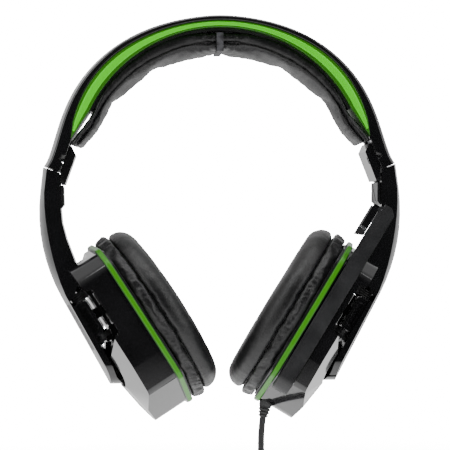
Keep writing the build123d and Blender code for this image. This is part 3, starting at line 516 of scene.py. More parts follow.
def islands(node):
    """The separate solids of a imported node, as lists of points."""
    mesh = bmesh.new()
    mesh.from_mesh(frame["nodes"][node].data)
    bmesh.ops.remove_doubles(mesh, verts=mesh.verts, dist=2e-6)
    left, found = set(mesh.verts), []
    while left:
        stack, island = [left.pop()], []
        while stack:
            vertex = stack.pop()
            island.append(vertex.co.copy())
            for edge in vertex.link_edges:
                other = edge.other_vert(vertex)
                if other in left:
                    left.remove(other)
                    stack.append(other)
        found.append(island)
    mesh.free()
    return found


def screw_pattern(radius, head, length):
    """A pan-head screw with a cross recess, its head's underside at the origin and its shank down -Z."""
    profile = [
        (head * 0.45, 0), (head * 0.45, radius * 0.12), (head, radius * 0.42), (head * 0.96, radius * 0.62),
        (head * 0.78, radius * 0.86), (head * 0.4, radius), (0, radius), (0, radius * 0.5),
        (-length + radius * 0.5, radius * 0.5), (-length, 0),
    ]
    piece = turned("screw_pattern", profile, (0, 0, 0), (0, 0, 1), 24)
    for vertex in piece.data.vertices:
        reach = hypot(vertex.co.x, vertex.co.y)
        beside = min(abs(vertex.co.x), abs(vertex.co.y))
        if vertex.co.z > head * 0.9 and reach < radius * 0.7 and beside < radius * 0.13:
            vertex.co.z = head * 0.5
    sharpen(piece, 40)
    return piece


def scattered(name, starts, heading, length):
    """Screws at the given places, their shanks along the heading."""
    data = bpy.data.meshes.new(name)
    data.from_pydata([tuple(p) for p in starts], [], [])
    for item in data.attributes.new("heading", "FLOAT_VECTOR", "POINT").data:
        item.vector = -heading
    pattern = screw_pattern(SCREW_RADIUS, SCREW_HEAD, length)
    tree = scatter_tree(name + "_layout", pattern, finishes["steel"])
    piece = laid_out(link(name, data), tree, {"Scale": 1.0, "Seed": SCREW_SEED})
    bpy.data.objects.remove(pattern)
    return piece


def screws(name, node, body, inward, length):
    """Detailed screws in the places of a packed group of plain ones."""
    starts = []
    for island in islands(node):
        middle = sum(island, Vector()) / len(island)
        along = [(p - middle).dot(inward) for p in island]
        top = [a for a in along if a < min(along) + 0.2 * MM]
        starts.append(middle + inward * (sum(top) / len(top) + SCREW_HEAD))
    settle(scattered(name, starts, inward, length), body, finishes["steel"], "steel", node)


# ---------------------------------------------------------------- finishes

finishes = {}


class Shades(Desk):
    """A material with constants set on the shader itself, and its nodes for detail."""

    def __init__(self, name, colour, roughness, **sockets):
        self.material = bpy.data.materials.new(name)
        self.material.use_nodes = True
        super().__init__(self.material.node_tree)
        self.shader = self.nodes["Principled BSDF"]
        self.shader.inputs["Base Color"].default_value = (*colour, 1)
        self.shader.inputs["Roughness"].default_value = roughness
        for socket, value in sockets.items():
            self.shader.inputs[socket.replace("_", " ").title().replace("Ior", "IOR")].default_value = value
        finishes[name] = self.material

    def drive(self, socket, value):
        self.links.new(value, self.shader.inputs[socket])

    def place(self, stretch=(1, 1, 1), turn=(0, 0, 0)):
        """Object coordinates, turned and stretched."""
        where, mapping = self.node("ShaderNodeTexCoord"), self.node("ShaderNodeMapping")
        mapping.inputs["Scale"].default_value = stretch
        mapping.inputs["Rotation"].default_value = turn
        self.join((where, "Object", mapping, "Vector"))
        return mapping.outputs["Vector"]

    def noise(self, where, scale, detail=4.0, roughness=0.55):
        texture = self.node("ShaderNodeTexNoise")
        for name, value in {"Scale": scale, "Detail": detail, "Roughness": roughness}.items():
            texture.inputs[name].default_value = value
        self.links.new(where, texture.inputs["Vector"])
        return texture.outputs["Fac"]

    def tones(self, value, colour, *stops):
        """Shades of one colour: each stop is (position, factor)."""
        ramp = self.node("ShaderNodeValToRGB")
        elements = ramp.color_ramp.elements
        colours = [(position, (*scaled(colour, factor), 1)) for position, factor in stops]
        elements[0].position, elements[0].color = colours[0]
        elements[1].position, elements[1].color = colours[-1]
        for position, shade in colours[1:-1]:
            elements.new(position).color = shade
        self.links.new(value, ramp.inputs["Fac"])
        return ramp.outputs["Color"]

    def bump(self, height, strength, distance, under=None):
        bump = self.node("ShaderNodeBump")
        bump.inputs["Strength"].default_value = strength
        bump.inputs["Distance"].default_value = distance
        self.links.new(height, bump.inputs["Height"])
        if under is not None:
            self.join((under, "Normal", bump, "Normal"))
        self.drive("Normal", bump.outputs["Normal"])
        return bump


def scaled(colour, factor):
    return tuple(min(1.0, c * factor) for c in colour)


def gloss_black(colours):
    """Polished black plastic: faint flow waves, dust-fine scuffs and a clear reflection."""
    shades = Shades("gloss_black", colours.gloss, 0.07, coat_weight=0.6, coat_roughness=0.03)
    where = shades.place()
    tone = shades.noise(where, 45, 3)
    shades.drive("Base Color", shades.tones(tone, colours.gloss, (0.3, 0.85), (0.75, 1.5)))
    scuffs = shades.noise(shades.place((1, 1, 7), (0.2, 0.4, 0.1)), 320, 6, 0.7)
    shades.drive("Roughness", shades.ramp(scuffs, 0.045, 0.16, 0.35, 0.8))
    shades.bump(shades.noise(where, 130, 2), 0.035, 0.0006)


def satin_black(colours):
    """Fine spark-eroded texture, as on the inner covers and the boom."""
    shades = Shades("satin_black", colours.satin, 0.36)
    where = shades.place()
    tone = shades.noise(where, 70, 4)
    shades.drive("Base Color", shades.tones(tone, colours.satin, (0.3, 0.8), (0.7, 1.35)))
    shades.drive("Roughness", shades.ramp(tone, 0.3, 0.44, 0.3, 0.7))
    shades.bump(shades.noise(where, 2600, 3), 0.22, 0.0002)


def leatherette(colours):
    """Soft black leatherette: pebbled grain with painted shade in the creases between pebbles, finer pores and
    paler rubbed patches.
    """
    shades = Shades("leatherette", colours.hide, 0.42, sheen_weight=0.03, sheen_roughness=0.4)
    where = shades.place()
    cells = shades.node("ShaderNodeTexVoronoi", feature="DISTANCE_TO_EDGE")
    cells.inputs["Scale"].default_value = 1100
    shades.links.new(where, cells.inputs["Vector"])
    pebbles = shades.ramp(cells.outputs["Distance"], 0, 1, 0.0, 0.28)
    rubbed = shades.noise(where, 38, 4)
    pores = shades.noise(where, 4200, 3)
    tone = shades.math("MULTIPLY", pebbles, rubbed)
    # Grain tone, partly painted shade: the colour is darker along the creases between pebbles.
    shades.drive("Base Color", shades.tones(tone, colours.hide, (0.05, 0.55), (0.5, 1.25), (0.8, 1.9)))
    shades.drive("Roughness", shades.ramp(rubbed, 0.46, 0.3, 0.3, 0.72))
    shades.bump(pores, 0.12, 0.0001, shades.bump(pebbles, 0.28, 0.00022))


def green_plastic(name, colour, glow):
    """Translucent green plastic with a painted glow, as if lit from within, and painted shade that deepens it at
    grazing angles.
    """
    shades = Shades(name, colour, 0.28, specular_ior_level=0.3, coat_weight=0.1)
    where = shades.place()
    clouds = shades.noise(where, 60, 3)
    # Painted shade: the colour darkens where the surface is seen at a grazing angle.
    edge = shades.node("ShaderNodeLayerWeight")
    edge.inputs["Blend"].default_value = 0.3
    tone = shades.math("ADD", shades.math("MULTIPLY", clouds, 0.12), edge.outputs["Facing"])
    shade = shades.tones(tone, colour, (0.05, 1), (0.5, 0.8), (0.95, 0.25))
    shades.drive("Base Color", shade)
    # Painted glow: emission in the same colour, though the plastic is no lamp.
    shades.drive("Emission Color", shade)
    shades.shader.inputs["Emission Strength"].default_value = glow
    shades.bump(shades.noise(where, 700, 2), 0.03, 0.0003)
    return shades, shade


def green_ring(colours):
    """The rings' plastic, its painted glow dimmed to a dark line of painted shade near each edge, by the distance
    from the ring's middle plane.
    """
    shades, shade = green_plastic("green_ring", colours.ring, colours.glow)
    where, split = shades.node("ShaderNodeTexCoord"), shades.node("ShaderNodeSeparateXYZ")
    shades.join((where, "Object", split, "Vector"))
    reach = shades.math("MULTIPLY", shades.math("ABSOLUTE", split.outputs["X"]), CUP_OUT.x)
    reach = shades.math("ADD", reach, shades.math("MULTIPLY", split.outputs["Y"], CUP_OUT.y))
    reach = shades.math("ADD", reach, shades.math("MULTIPLY", split.outputs["Z"], CUP_OUT.z))
    away = shades.math("ABSOLUTE", shades.math("SUBTRACT", reach, CUP_OUT.dot(CUP_CENTRE)))
    share = shades.ramp(away, 0, 1, 0.0, RING_HALF * MM)
    # Painted shade: the base and glow colours darken towards each face of the ring.
    mix = shades.node("ShaderNodeMix", data_type="RGBA", blend_type="MULTIPLY")
    mix.inputs["Factor"].default_value = 1.0
    shades.links.new(shade, mix.inputs[6])
    shades.links.new(shades.ramp(share, 1, 0.22, 0.62, 0.85), mix.inputs[7])
    shades.drive("Base Color", mix.outputs[2])
    shades.drive("Emission Color", mix.outputs[2])


def woven(name, colour, pitch, roughness=0.75):
    """Crossed threads at a given pitch."""
    shades = Shades(name, colour, roughness, sheen_weight=0.1)
    waves = []
    for turn in ((0, 0, 0), (0, radians(90), radians(90))):
        wave = shades.node("ShaderNodeTexWave", bands_direction="DIAGONAL")
        for socket, value in {"Scale": 0.05 / pitch, "Distortion": 0.6, "Detail": 1.0}.items():
            wave.inputs[socket].default_value = value
        shades.links.new(shades.place(turn=turn), wave.inputs["Vector"])
        waves.append(wave.outputs["Fac"])
    weave = shades.math("MAXIMUM", *waves)
    shades.drive("Base Color", shades.tones(weave, colour, (0.1, 0.35), (0.9, 1.3)))
    fuzz = shades.noise(shades.place(), 3000, 3)
    shades.bump(fuzz, 0.2, 0.0001, shades.bump(weave, 0.5, 0.00015))


def metal(name, colour, roughness, drawn=(1, 1, 8)):
    shades = Shades(name, colour, roughness, metallic=1.0)
    streaks = shades.noise(shades.place(drawn), 900, 4)
    shades.drive("Roughness", shades.ramp(streaks, roughness * 0.7, roughness * 1.5, 0.3, 0.7))
    shades.drive("Base Color", shades.tones(streaks, colour, (0.3, 0.86), (0.7, 1.08)))
    shades.bump(streaks, 0.06, 0.0001)


def plain_moulding(name, colour, roughness, grain, strength=0.15):
    """Rubber, film and painted parts: a toned colour over a fine grain."""
    shades = Shades(name, colour, roughness)
    where = shades.place()
    tone = shades.noise(where, 90, 4)
    shades.drive("Base Color", shades.tones(tone, colour, (0.3, 0.75), (0.7, 1.3)))
    shades.drive("Roughness", shades.ramp(tone, roughness * 0.85, min(1, roughness * 1.15), 0.3, 0.7))
    shades.bump(shades.noise(where, grain, 3), strength, 0.00015)


def stage_white():
    """Seamless paper that fades out with distance, so that no edge of it shows."""
    shades = Shades("stage_paper", (0.9, 0.9, 0.9), 0.8, emission_strength=1.0)
    shades.shader.inputs["Emission Color"].default_value = (1, 1, 1, 1)
    where = shades.node("ShaderNodeTexCoord")
    length = shades.node("ShaderNodeVectorMath", operation="LENGTH")
    shades.join((where, "Object", length, 0))
    shades.drive("Alpha", shades.ramp(length.outputs["Value"], 1, 0, 0.15, 1.0))


class HEADSET_OT_finishes(bpy.types.Operator):
    """Makes every finish of the headset"""
    bl_idname = "headset.finishes"
    bl_label = "Finishes"

    def execute(self, context):
        colours = context.scene.headset_finish
        gloss_black(colours)
        satin_black(colours)
        leatherette(colours)
        # The accent and the border are painted as glowing; the border's painted glow is half as strong.
        green_plastic("green_accent", colours.accent, colours.glow)
        green_plastic("green_border", colours.border, colours.glow / 2)
        green_ring(colours)
        woven("grey_tape", (0.05, 0.05, 0.055), 0.0006)
        woven("speaker_cloth", (0.016, 0.016, 0.018), 0.0005, 0.85)
        metal("steel", (0.55, 0.56, 0.58), 0.3)
        metal("silver", (0.72, 0.73, 0.75), 0.18)
        metal("plug_gold", (0.83, 0.63, 0.29), 0.16, (1, 1, 1))
        plain_moulding("soft_rubber", (0.012, 0.012, 0.013), 0.55, 1800)
        plain_moulding("insulator", (0.01, 0.01, 0.01), 0.35, 900)
        plain_moulding("clear_film", (0.3, 0.29, 0.26), 0.3, 500, 0.05)
        plain_moulding("thread", (0.02, 0.02, 0.022), 0.6, 5000, 0.4)
        stage_white()
        return {"FINISHED"}


# ---------------------------------------------------------------- stage


def aim(piece, target, roll=0.0):
    heading = (target - piece.location).to_track_quat("-Z", "Y").to_matrix().to_4x4()
    piece.matrix_world = Matrix.Translation(piece.location) @ heading @ Matrix.Rotation(roll, 4, "Z")


def softbox(name, place, target, size, power):
    light = bpy.data.lights.new(name, "AREA")
    light.shape = "RECTANGLE"
    light.size, light.size_y = size
    light.energy = power
    piece = link(name, light)
    piece.location = Vector(place)
    aim(piece, Vector(target))
    return piece


BACKDROP_STRENGTH = 20.0


def studio_world(brightness):
    """White all round, with a dark front so that polished faces stay deep black."""
    world = bpy.data.worlds.new("studio")
    bpy.context.scene.world = world
    world.use_nodes = True
    desk = Desk(world.node_tree)
    seen = desk.nodes["Background"]
    seen.inputs["Color"].default_value = (1, 1, 1, 1)
    seen.inputs["Strength"].default_value = BACKDROP_STRENGTH
    where, split = desk.node("ShaderNodeTexCoord"), desk.node("ShaderNodeSeparateXYZ")
    desk.join((where, "Generated", split, "Vector"))
    lit = desk.node("ShaderNodeBackground")
    desk.links.new(desk.ramp(split.outputs["Y"], 0.03, 1.0, -0.92, -0.05), lit.inputs["Color"])
    lit.inputs["Strength"].default_value = 0.9 * brightness
    ray, mix = desk.node("ShaderNodeLightPath"), desk.node("ShaderNodeMixShader")
    desk.join(
        (ray, "Is Camera Ray", mix, "Fac"), (lit, "Background", mix, 1), (seen, "Background", mix, 2),
        (mix, "Shader", desk.nodes["World Output"], "Surface"),
    )


class HEADSET_OT_stage(bpy.types.Operator):
    """Sets up the camera, the pale floor and the soft light"""
    bl_idname = "headset.stage"
    bl_label = "Stage"

    def execute(self, context):
        stage = context.scene.headset_stage
        lens = bpy.data.cameras.new("camera")
        lens.lens = stage.lens
        lens.sensor_width = 36
        camera = link("camera", lens)
        target = Vector((0.0024, 0, -0.0906))
        turn = stage.camera_turn
        camera.location = target + Vector((sin(turn), -cos(turn), 0)) * stage.camera_distance
        aim(camera, target, stage.camera_roll)
        context.scene.camera = camera
        mesh = bmesh.new()
        bmesh.ops.create_circle(mesh, cap_ends=True, segments=96, radius=1.2)
        floor = made("floor", mesh)
        floor.location.z = stage.floor_height
        floor.data.materials.append(finishes["stage_paper"])
        studio_world(stage.brightness)
        softbox("top_light", (0.0, -0.25, 0.75), (0, 0, -0.08), (0.9, 0.5), 5 * stage.brightness)
        softbox("right_light", (-0.75, -0.55, 0.25), (0, 0, -0.1), (0.25, 0.9), 3 * stage.brightness)
        softbox("left_light", (0.75, -0.55, 0.25), (0, 0, -0.1), (0.25, 0.9), 3 * stage.brightness)
        return {"FINISHED"}


# ---------------------------------------------------------------- lead

# The lead's route below its relief, down to where its stored coil hangs, in metres
LEAD_POINTS = [
    (0.0199, -0.006, -0.1982), (0.0195, -0.0062, -0.209), (0.0198, -0.0061, -0.225),
    (0.0196, -0.006, -0.2415),
]
RELIEF_END = (0.020807, -0.006344, -0.191968)
# The plug pin as shares of its length and its radius, with a groove at each insulator
PIN_PROFILE = [
    (0, 0), (0, 1), (0.3, 1), (0.31, 0.97), (0.36, 0.97), (0.37, 1), (0.5, 1), (0.51, 0.97), (0.56, 0.97),
    (0.57, 1), (0.74, 1), (0.8, 0.72), (0.85, 0.94), (0.95, 0.5), (1, 0.16), (1, 0),
]
TIE_EDGE = 0.0003
COIL_LAYERS = 3
COIL_COLUMNS = 4
POINTS_PER_TURN = 16


def lead_route(lead):
    """Down from the relief, round the stored coil lane by lane, and down to the plug."""
    entry = Vector(LEAD_POINTS[-1])
    outer = lead.coil_radius + lead.coil_pitch * (COIL_LAYERS - 1) / 2
    centre = entry + Vector((outer, 0, 0))
    lanes = []
    for column in range(COIL_COLUMNS):
        order = range(COIL_LAYERS) if column % 2 == 0 else reversed(range(COIL_LAYERS))
        lanes += [(column, outer - layer * lead.coil_pitch) for layer in order]
    points = [Vector(RELIEF_END)] + [Vector(p) for p in LEAD_POINTS]
    for turn, (column, radius) in enumerate(lanes):
        following = lanes[min(turn + 1, len(lanes) - 1)]
        for step in range(1, POINTS_PER_TURN + 1):
            share = step / POINTS_PER_TURN
            late = max(0.0, (share - 0.75) / 0.25)
            reach = radius + (following[1] - radius) * late
            depth = column + (following[0] - column) * late
            angle = 2 * pi * share
            points.append(
                centre + Vector((-cos(angle) * reach, depth * lead.coil_pitch, -sin(angle) * reach))
            )
    low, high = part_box("plug_body")
    last = points[-1]
    middle = (low + high) / 2
    run = last.z - high.z
    points += [Vector((middle.x, middle.y, last.z - run * share)) for share in (0.3, 0.65, 1.0)]
    return points


def spline_through(name, points, radius):
    data = bpy.data.curves.new(name, "CURVE")
    data.dimensions = "3D"
    spline = data.splines.new("NURBS")
    spline.points.add(len(points) - 1)
    for control, place in zip(spline.points, points):
        control.co = (*place, 1)
    spline.order_u = 3
    spline.use_endpoint_u = True
    spline.resolution_u = 6
    data.bevel_depth = radius
    data.bevel_resolution = 4
    data.use_fill_caps = True
    return link(name, data)


def grooved(start, end, radius, grooves, depth):
    """A profile with even grip grooves between two places."""
    points = []
    pitch = (end - start) / grooves
    for k in range(grooves):
        near = start + k * pitch
        points += [
            (near, radius), (near + pitch * 0.5, radius), (near + pitch * 0.58, radius - depth),
            (near + pitch * 0.92, radius - depth),
        ]
    return points + [(end, radius)]


class HEADSET_OT_lead(bpy.types.Operator):
    """Makes the lead with its strain relief, coil tie and plug"""
    bl_idname = "headset.lead"
    bl_label = "Lead"

    def execute(self, context):
        lead = context.scene.headset_lead
        low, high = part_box("plug_body")
        middle = (low + high) / 2
        top = Vector((middle.x, middle.y, high.z))
        reach = (high.x - low.x) / 2
        run = high.z - low.z
        profile = [(0, 0), (0, lead.diameter * 0.62), (run * 0.06, lead.diameter * 0.68)]
        profile += grooved(run * 0.08, run * 0.34, lead.diameter * 0.78, 4, 0.0004)
        profile += [(run * 0.42, reach * 0.94), (run * 0.46, reach)]
        profile += grooved(run * 0.5, run * 0.88, reach, 6, 0.00025)
        profile += [(run * 0.96, reach), (run, reach * 0.9), (run, 0)]
        body = turned("plug_grip", profile, top, (0, 0, -1), 64)
        sharpen(body, 50)
        settle(body, "left_cup", finishes["soft_rubber"], "soft_rubber", "plug_body")
        low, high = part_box("plug_pin")
        start = Vector((middle.x, middle.y, high.z))
        run, reach = high.z - low.z, (high.x - low.x) / 2
        profile = [(run * down, reach * wide) for down, wide in PIN_PROFILE]
        pin = turned("plug_contacts", profile, start, (0, 0, -1), 48)
        sharpen(pin, 40)
        settle(pin, "left_cup", finishes["plug_gold"], "plug_gold", "plug_pin")
        pin.data.materials.append(finishes["insulator"])
        for polygon in pin.data.polygons:
            down = (start.z - polygon.center.z) / run
            if 0.305 < down < 0.365 or 0.505 < down < 0.565:
                polygon.material_index = 1
        tie = moulded("coil_tie", "left_cup", "grey_tape", TIE_EDGE, "soft_rubber")
        cord = spline_through("lead", lead_route(lead), lead.diameter / 2)
        rubber = finishes["soft_rubber"]
        settle(cord, "left_cup", rubber, "soft_rubber", "cord_lead", "cord_coil", "cord_tail")
        length = self.measured(cord)
        self.relief(lead)
        return {"FINISHED"}

    def measured(self, cord):
        """The length of the spline's own line."""
        data = cord.data.copy()
        data.bevel_depth = 0
        line = link("line", data)
        graph = bpy.context.evaluated_depsgraph_get()
        mesh = bpy.data.meshes.new_from_object(line.evaluated_get(graph))
        length = sum(
            (mesh.vertices[a].co - mesh.vertices[b].co).length for a, b in (e.vertices for e in mesh.edges)
        )
        bpy.data.objects.remove(line)
        bpy.data.meshes.remove(mesh)
        return length

    def relief(self, lead):
        """A tapered boot with cut ribs."""
        end = Vector(RELIEF_END)
        axis = Vector((sin(radians(192)), 0, cos(radians(192))))
        run = 0.0125
        root, tip = 0.0034, 0.0024
        profile = [(0, 0), (0, root), (0.0062, root), (0.0066, root - 0.0002)]
        for k in range(3):
            near = 0.0072 + k * 0.0017
            wide = root + (tip - root) * (near - 0.0065) / (run - 0.0065)
            profile += [
                (near, wide), (near + 0.0002, wide - 0.0005), (near + 0.0007, wide - 0.00055),
                (near + 0.0009, wide),
            ]
        profile += [(run - 0.0003, tip), (run, tip - 0.0004), (run, 0)]
        boot = turned("relief_boot", profile, end - axis * run, axis, 56)
        sharpen(boot, 40)
        settle(boot, "left_cup", finishes["soft_rubber"], "soft_rubber", "strain_relief")


# ---------------------------------------------------------------- headband

BAND_SPREAD = 69.4
LINER_EDGE = 0.0007
BAND_HUB = Vector((0, 0, -0.0936))
RAIL_DEPTH = 0.0128
LINER_DEPTH = 0.013
STRIP_SHARE = 0.6
STRIP_STEPS, STRIP_STEP = 150, 0.4
STRIP_BULGE, STRIP_ROOT, STRIP_SINK = 0.0007, 0.0006, 0.0002
LIP_DEPTH, LIP_HALF, LIP_STEP = 0.0125, 0.0009, 0.0004
LIP_SINK, LIP_CLEARANCE = 0.0003, 0.00025


def heading_at(angle):
    """Unit vector in the plane of the band, from +Z towards +X."""
    return Vector((sin(angle), 0, cos(angle)))


def band_sections(settings):
    """Loops of points round the shell at even steps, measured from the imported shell."""
    tree = tree_of("headband_shell")
    rows = []
    edge = settings.band_edge
    for step in range(settings.band_steps + 1):
        angle = radians(BAND_SPREAD) * (2 * step / settings.band_steps - 1)
        heading = heading_at(angle)
        rail = crossings(tree, BAND_HUB + Vector((0, -RAIL_DEPTH, 0)), heading)
        crown = crossings(tree, BAND_HUB, heading)
        inner, outer_rail = rail[0], rail[-1]
        roof, outer = crown[0], crown[-1]
        level = (inner + outer_rail) / 2
        probe = tree.ray_cast(BAND_HUB + heading * level + Vector((0, -0.05, 0)), Vector((0, 1, 0)))
        half = abs(probe[0].y)
        drop = (outer - outer_rail) / (RAIL_DEPTH / half) ** 2
        near = 0.0113
        section = []
        flat = half - edge
        for k in range(-8, 9):
            y = flat * k / 8
            section.append((y, outer - drop * (y / half) ** 2))
        shoulder = outer - drop * (flat / half) ** 2
        for k in range(1, 5):
            t = pi / 2 * k / 4
            section.append((flat + edge * sin(t), shoulder - edge * (1 - cos(t)) - drop * 0.06 * k / 4))
        low_edge = min(edge * 0.5, (level - inner) * 0.8)
        section += [
            (half, level), (half, inner + low_edge), (half - low_edge * 0.3, inner + low_edge * 0.3),
            (half - low_edge, inner), (near + 0.0006, inner), (near, inner + 0.0003), (near, roof - 0.0004),
            (near - 0.0004, roof),
        ]
        inner_half = [(-y, r) for y, r in reversed(section[17:])]
        loop = section + inner_half
        rows.append([BAND_HUB + heading * r + Vector((0, y, 0)) for y, r in loop])
    return rows


class HEADSET_OT_headband(bpy.types.Operator):
    """Makes the polished band, its green liner, its end guides and their screws"""
    bl_idname = "headset.headband"
    bl_label = "Headband"

    def execute(self, context):
        shells = context.scene.headset_shells
        band = skin("headband_skin", band_sections(shells))
        sharpen(band, 40)
        settle(band, "headband", finishes["gloss_black"], "gloss_black", "headband_shell")
        moulded("accent_liner", "headband", "green_border", LINER_EDGE, "green_accent", 30, 4)
        self.light_strips()
        for side in SIDES:
            moulded(side + "_end_guide", "headband", "gloss_black", shells.edge)
        self.guide_screws()
        self.wipers()
        return {"FINISHED"}

    def light_strips(self):
        """A strip made bright by a painted glow that bulges from the middle of the liner's front face, and one
        behind.
        """
        tree = tree_of("accent_liner")
        for name, sign in (("front", -1), ("back", 1)):
            rows = []
            for step in range(-STRIP_STEPS, STRIP_STEPS + 1):
                heading = heading_at(radians(step * STRIP_STEP))
                met = crossings(tree, BAND_HUB + Vector((0, sign * LINER_DEPTH, 0)), heading)
                if len(met) < 2:
                    continue
                low, high = met[0], met[-1]
                middle, reach = (low + high) / 2, (high - low) / 2 * STRIP_SHARE
                if reach < 0.0006:
                    continue
                start = BAND_HUB + heading * middle + Vector((0, sign * 0.05, 0))
                front = abs(tree.ray_cast(start, Vector((0, -sign, 0)))[0].y)
                section = []
                for k in range(-5, 6):
                    share = k / 5
                    bulge = STRIP_BULGE * sqrt(max(0.0, 1 - share * share))
                    section.append((sign * (front - STRIP_SINK + bulge), middle + reach * share))
                root = sign * (front - STRIP_ROOT)
                section += [(root, middle + reach), (root, middle - reach)]
                rows.append([BAND_HUB + heading * r + Vector((0, y, 0)) for y, r in section])
            strip = skin(name + "_light_strip", rows)
            sharpen(strip, 50)
            settle(strip, "headband", finishes["green_accent"], "green_accent")

    def wipers(self):
        """Soft lips that close the space between each guide's toe and the arm."""
        for side, sign in (("left", 1), ("right", -1)):
            guide, arm = tree_of(side + "_end_guide"), tree_of(side + "_arm_shell")
            shell = tree_of("headband_shell")
            low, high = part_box(side + "_end_guide")
            heading = Vector((sign, 0, 0))
            for name, depth in (("front", -LIP_DEPTH), ("back", LIP_DEPTH)):
                runs = [[]]
                height = low.z + 0.0001
                while height < high.z:
                    start = Vector((0, depth, height))
                    met = crossings(guide, start, heading)
                    others = crossings(shell, start, heading)[:1]
                    for beside in (-0.0012, 0, 0.0012):
                        for above in (-0.0007, 0, 0.0007):
                            others += crossings(arm, start + Vector((0, beside, above)), heading)[:1]
                    beyond = [c for c in others if met and c > met[-1]]
                    if beyond and min(beyond) - met[-1] > LIP_SINK:
                        near, far = met[-1] - LIP_SINK, min(beyond) - LIP_CLEARANCE
                        loop = [(near, -1), (far, -1), (far, 1), (near, 1)]
                        runs[-1].append([Vector((sign * x, depth + y * LIP_HALF, height)) for x, y in loop])
                    elif runs[-1]:
                        runs.append([])
                    height += LIP_STEP
                for number, rows in enumerate(run for run in runs if len(run) > 1):
                    lip = skin(f"{side}_{name}_wiper_{number + 1}", rows)
                    sharpen(lip, 30)
                    settle(lip, "headband", finishes["soft_rubber"], "soft_rubber")

    def guide_screws(self):
        """Two screws at each end of the band; the two sides face opposite ways, so each is its own piece."""
        slide = Vector(joints["left_arm_slide"]["axis"])
        for side, sign in (("left", 1), ("right", -1)):
            outward = Vector((sign * abs(slide.z), 0, abs(slide.x)))
            starts = []
            for island in islands("guide_screws"):
                middle = sum(island, Vector()) / len(island)
                if middle.x * sign < 0:
                    continue
                reach = min((p - middle).dot(outward) for p in island)
                starts.append(middle + outward * (reach + SCREW_HEAD))
            piece = scattered(side + "_guide_screws", starts, outward, 0.0045)
            settle(piece, "headband", finishes["steel"], "steel", "guide_screws")


# ---------------------------------------------------------------- headband pad

PAD_HUB = Vector((0, 0, -0.078))
PAD_SECTION = [
    # (share of the half width, share of the height from the head side)
    (0.0, 0.0), (0.3, 0.01), (0.58, 0.035), (0.8, 0.1), (0.93, 0.2), (0.985, 0.31), (0.985, 0.38),
    (0.93, 0.43), (0.9, 0.445), (0.94, 0.46), (1.0, 0.53), (1.03, 0.66), (1.01, 0.8), (0.96, 0.91),
    (0.9, 0.985), (0.6, 1.0), (0.25, 1.0),
]
PAD_SEAM = 8
STRAP_EDGE = 0.00022


def pad_reach():
    """The last angle, from the pad's hub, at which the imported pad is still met."""
    tree = tree_of("headband_pad")
    angle = 0.0
    while len(crossings(tree, PAD_HUB + Vector((0, -0.008, 0)), heading_at(angle))) >= 2:
        angle += radians(0.25)
    return angle - radians(0.25), tree


def pad_rows(steps):
    reach, tree = pad_reach()
    half = abs(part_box("headband_pad")[0].y)
    rows = []
    for step in range(steps + 1):
        share = 2 * step / steps - 1
        angle = reach * 0.992 * sin(share * pi / 2 * 0.98) / sin(pi / 2 * 0.98)
        met = crossings(tree, PAD_HUB + Vector((0, -0.008, 0)), heading_at(angle))
        low, high = met[0], met[-1]
        end = min(1.0, (1 - abs(share)) / 0.09)
        width = half * (0.80 + 0.17 * sqrt(max(0.0, 1 - (1 - end) ** 2)))
        pinch = 1 - 0.05 * exp(-((angle / radians(2.6)) ** 2))
        section = [(y * width * pinch, low + (high - low) * t) for y, t in PAD_SECTION]
        loop = section + [(-y, r) for y, r in reversed(section[1:])]
        rows.append([PAD_HUB + heading_at(angle) * r + Vector((0, y, 0)) for y, r in loop])
    return rows


def pad_height(settings):
    """Creases that fan out from the strap, puckers along the seam and slow swelling."""
    def height(place):
        offset = place - PAD_HUB
        angle = atan2(offset.x, offset.z)
        away = abs(angle) / radians(1.0)
        fan = exp(-((away - 3.5) / 7.0) ** 2) if away > 1.6 else 0
        slant = place.y * 260 * (1 if angle > 0 else -1)
        crease = abs(sin(angle * 58 + slant + 2.2 * noise.noise(place * 90)))
        swell = noise.noise(place * 75) * 0.00028 + noise.noise(place * 190) * 0.0001
        folds = sin(angle * 95 + 3 * noise.noise(place * 120)) * 0.00009
        return swell + folds - settings.crease * fan * (1 - crease) ** 2 * 1.6
    return height


class HEADSET_OT_pad(bpy.types.Operator):
    """Makes the padded headband cover, its seams and its strap"""
    bl_idname = "headset.pad"
    bl_label = "Headband pad"

    def execute(self, context):
        settings = context.scene.headset_pad
        rows = pad_rows(settings.steps)
        pad = skin("headband_cushion", rows)
        count = len(rows[0])
        seams = (PAD_SEAM, count - PAD_SEAM)
        top = range(15, count - 14)
        pins = {}
        for r in range(len(rows)):
            for c in range(count):
                held = c in seams or c in top or r in (0, len(rows) - 1)
                near_strap = abs(r - settings.steps / 2) < 1.5
                if held or near_strap:
                    pins[r * count + c] = 1.0
        inflate(pad, pins, 2.5, 0.0011)
        smoothed(pad, 2)
        push(pad, pad_height(settings))
        settle(pad, "headband", finishes["leatherette"], "leatherette", "headband_pad")
        paths = []
        for seam in seams:
            line = [row[seam] for row in rows]
            shift = Vector((0, 0.00035 if line[0].y > 0 else -0.00035, 0))
            paths.append(([p + shift for p in line[2:-2]], False))
        size = (0.00035, 0.00035, 0.0017)
        threads = repeated("pad_stitches", paths, size, finishes["thread"], settings.stitches)
        settle(threads, "headband", finishes["thread"], "leatherette")
        moulded("pad_strap", "headband", "grey_tape", STRAP_EDGE)
        return {"FINISHED"}


# ---------------------------------------------------------------- ear cushions

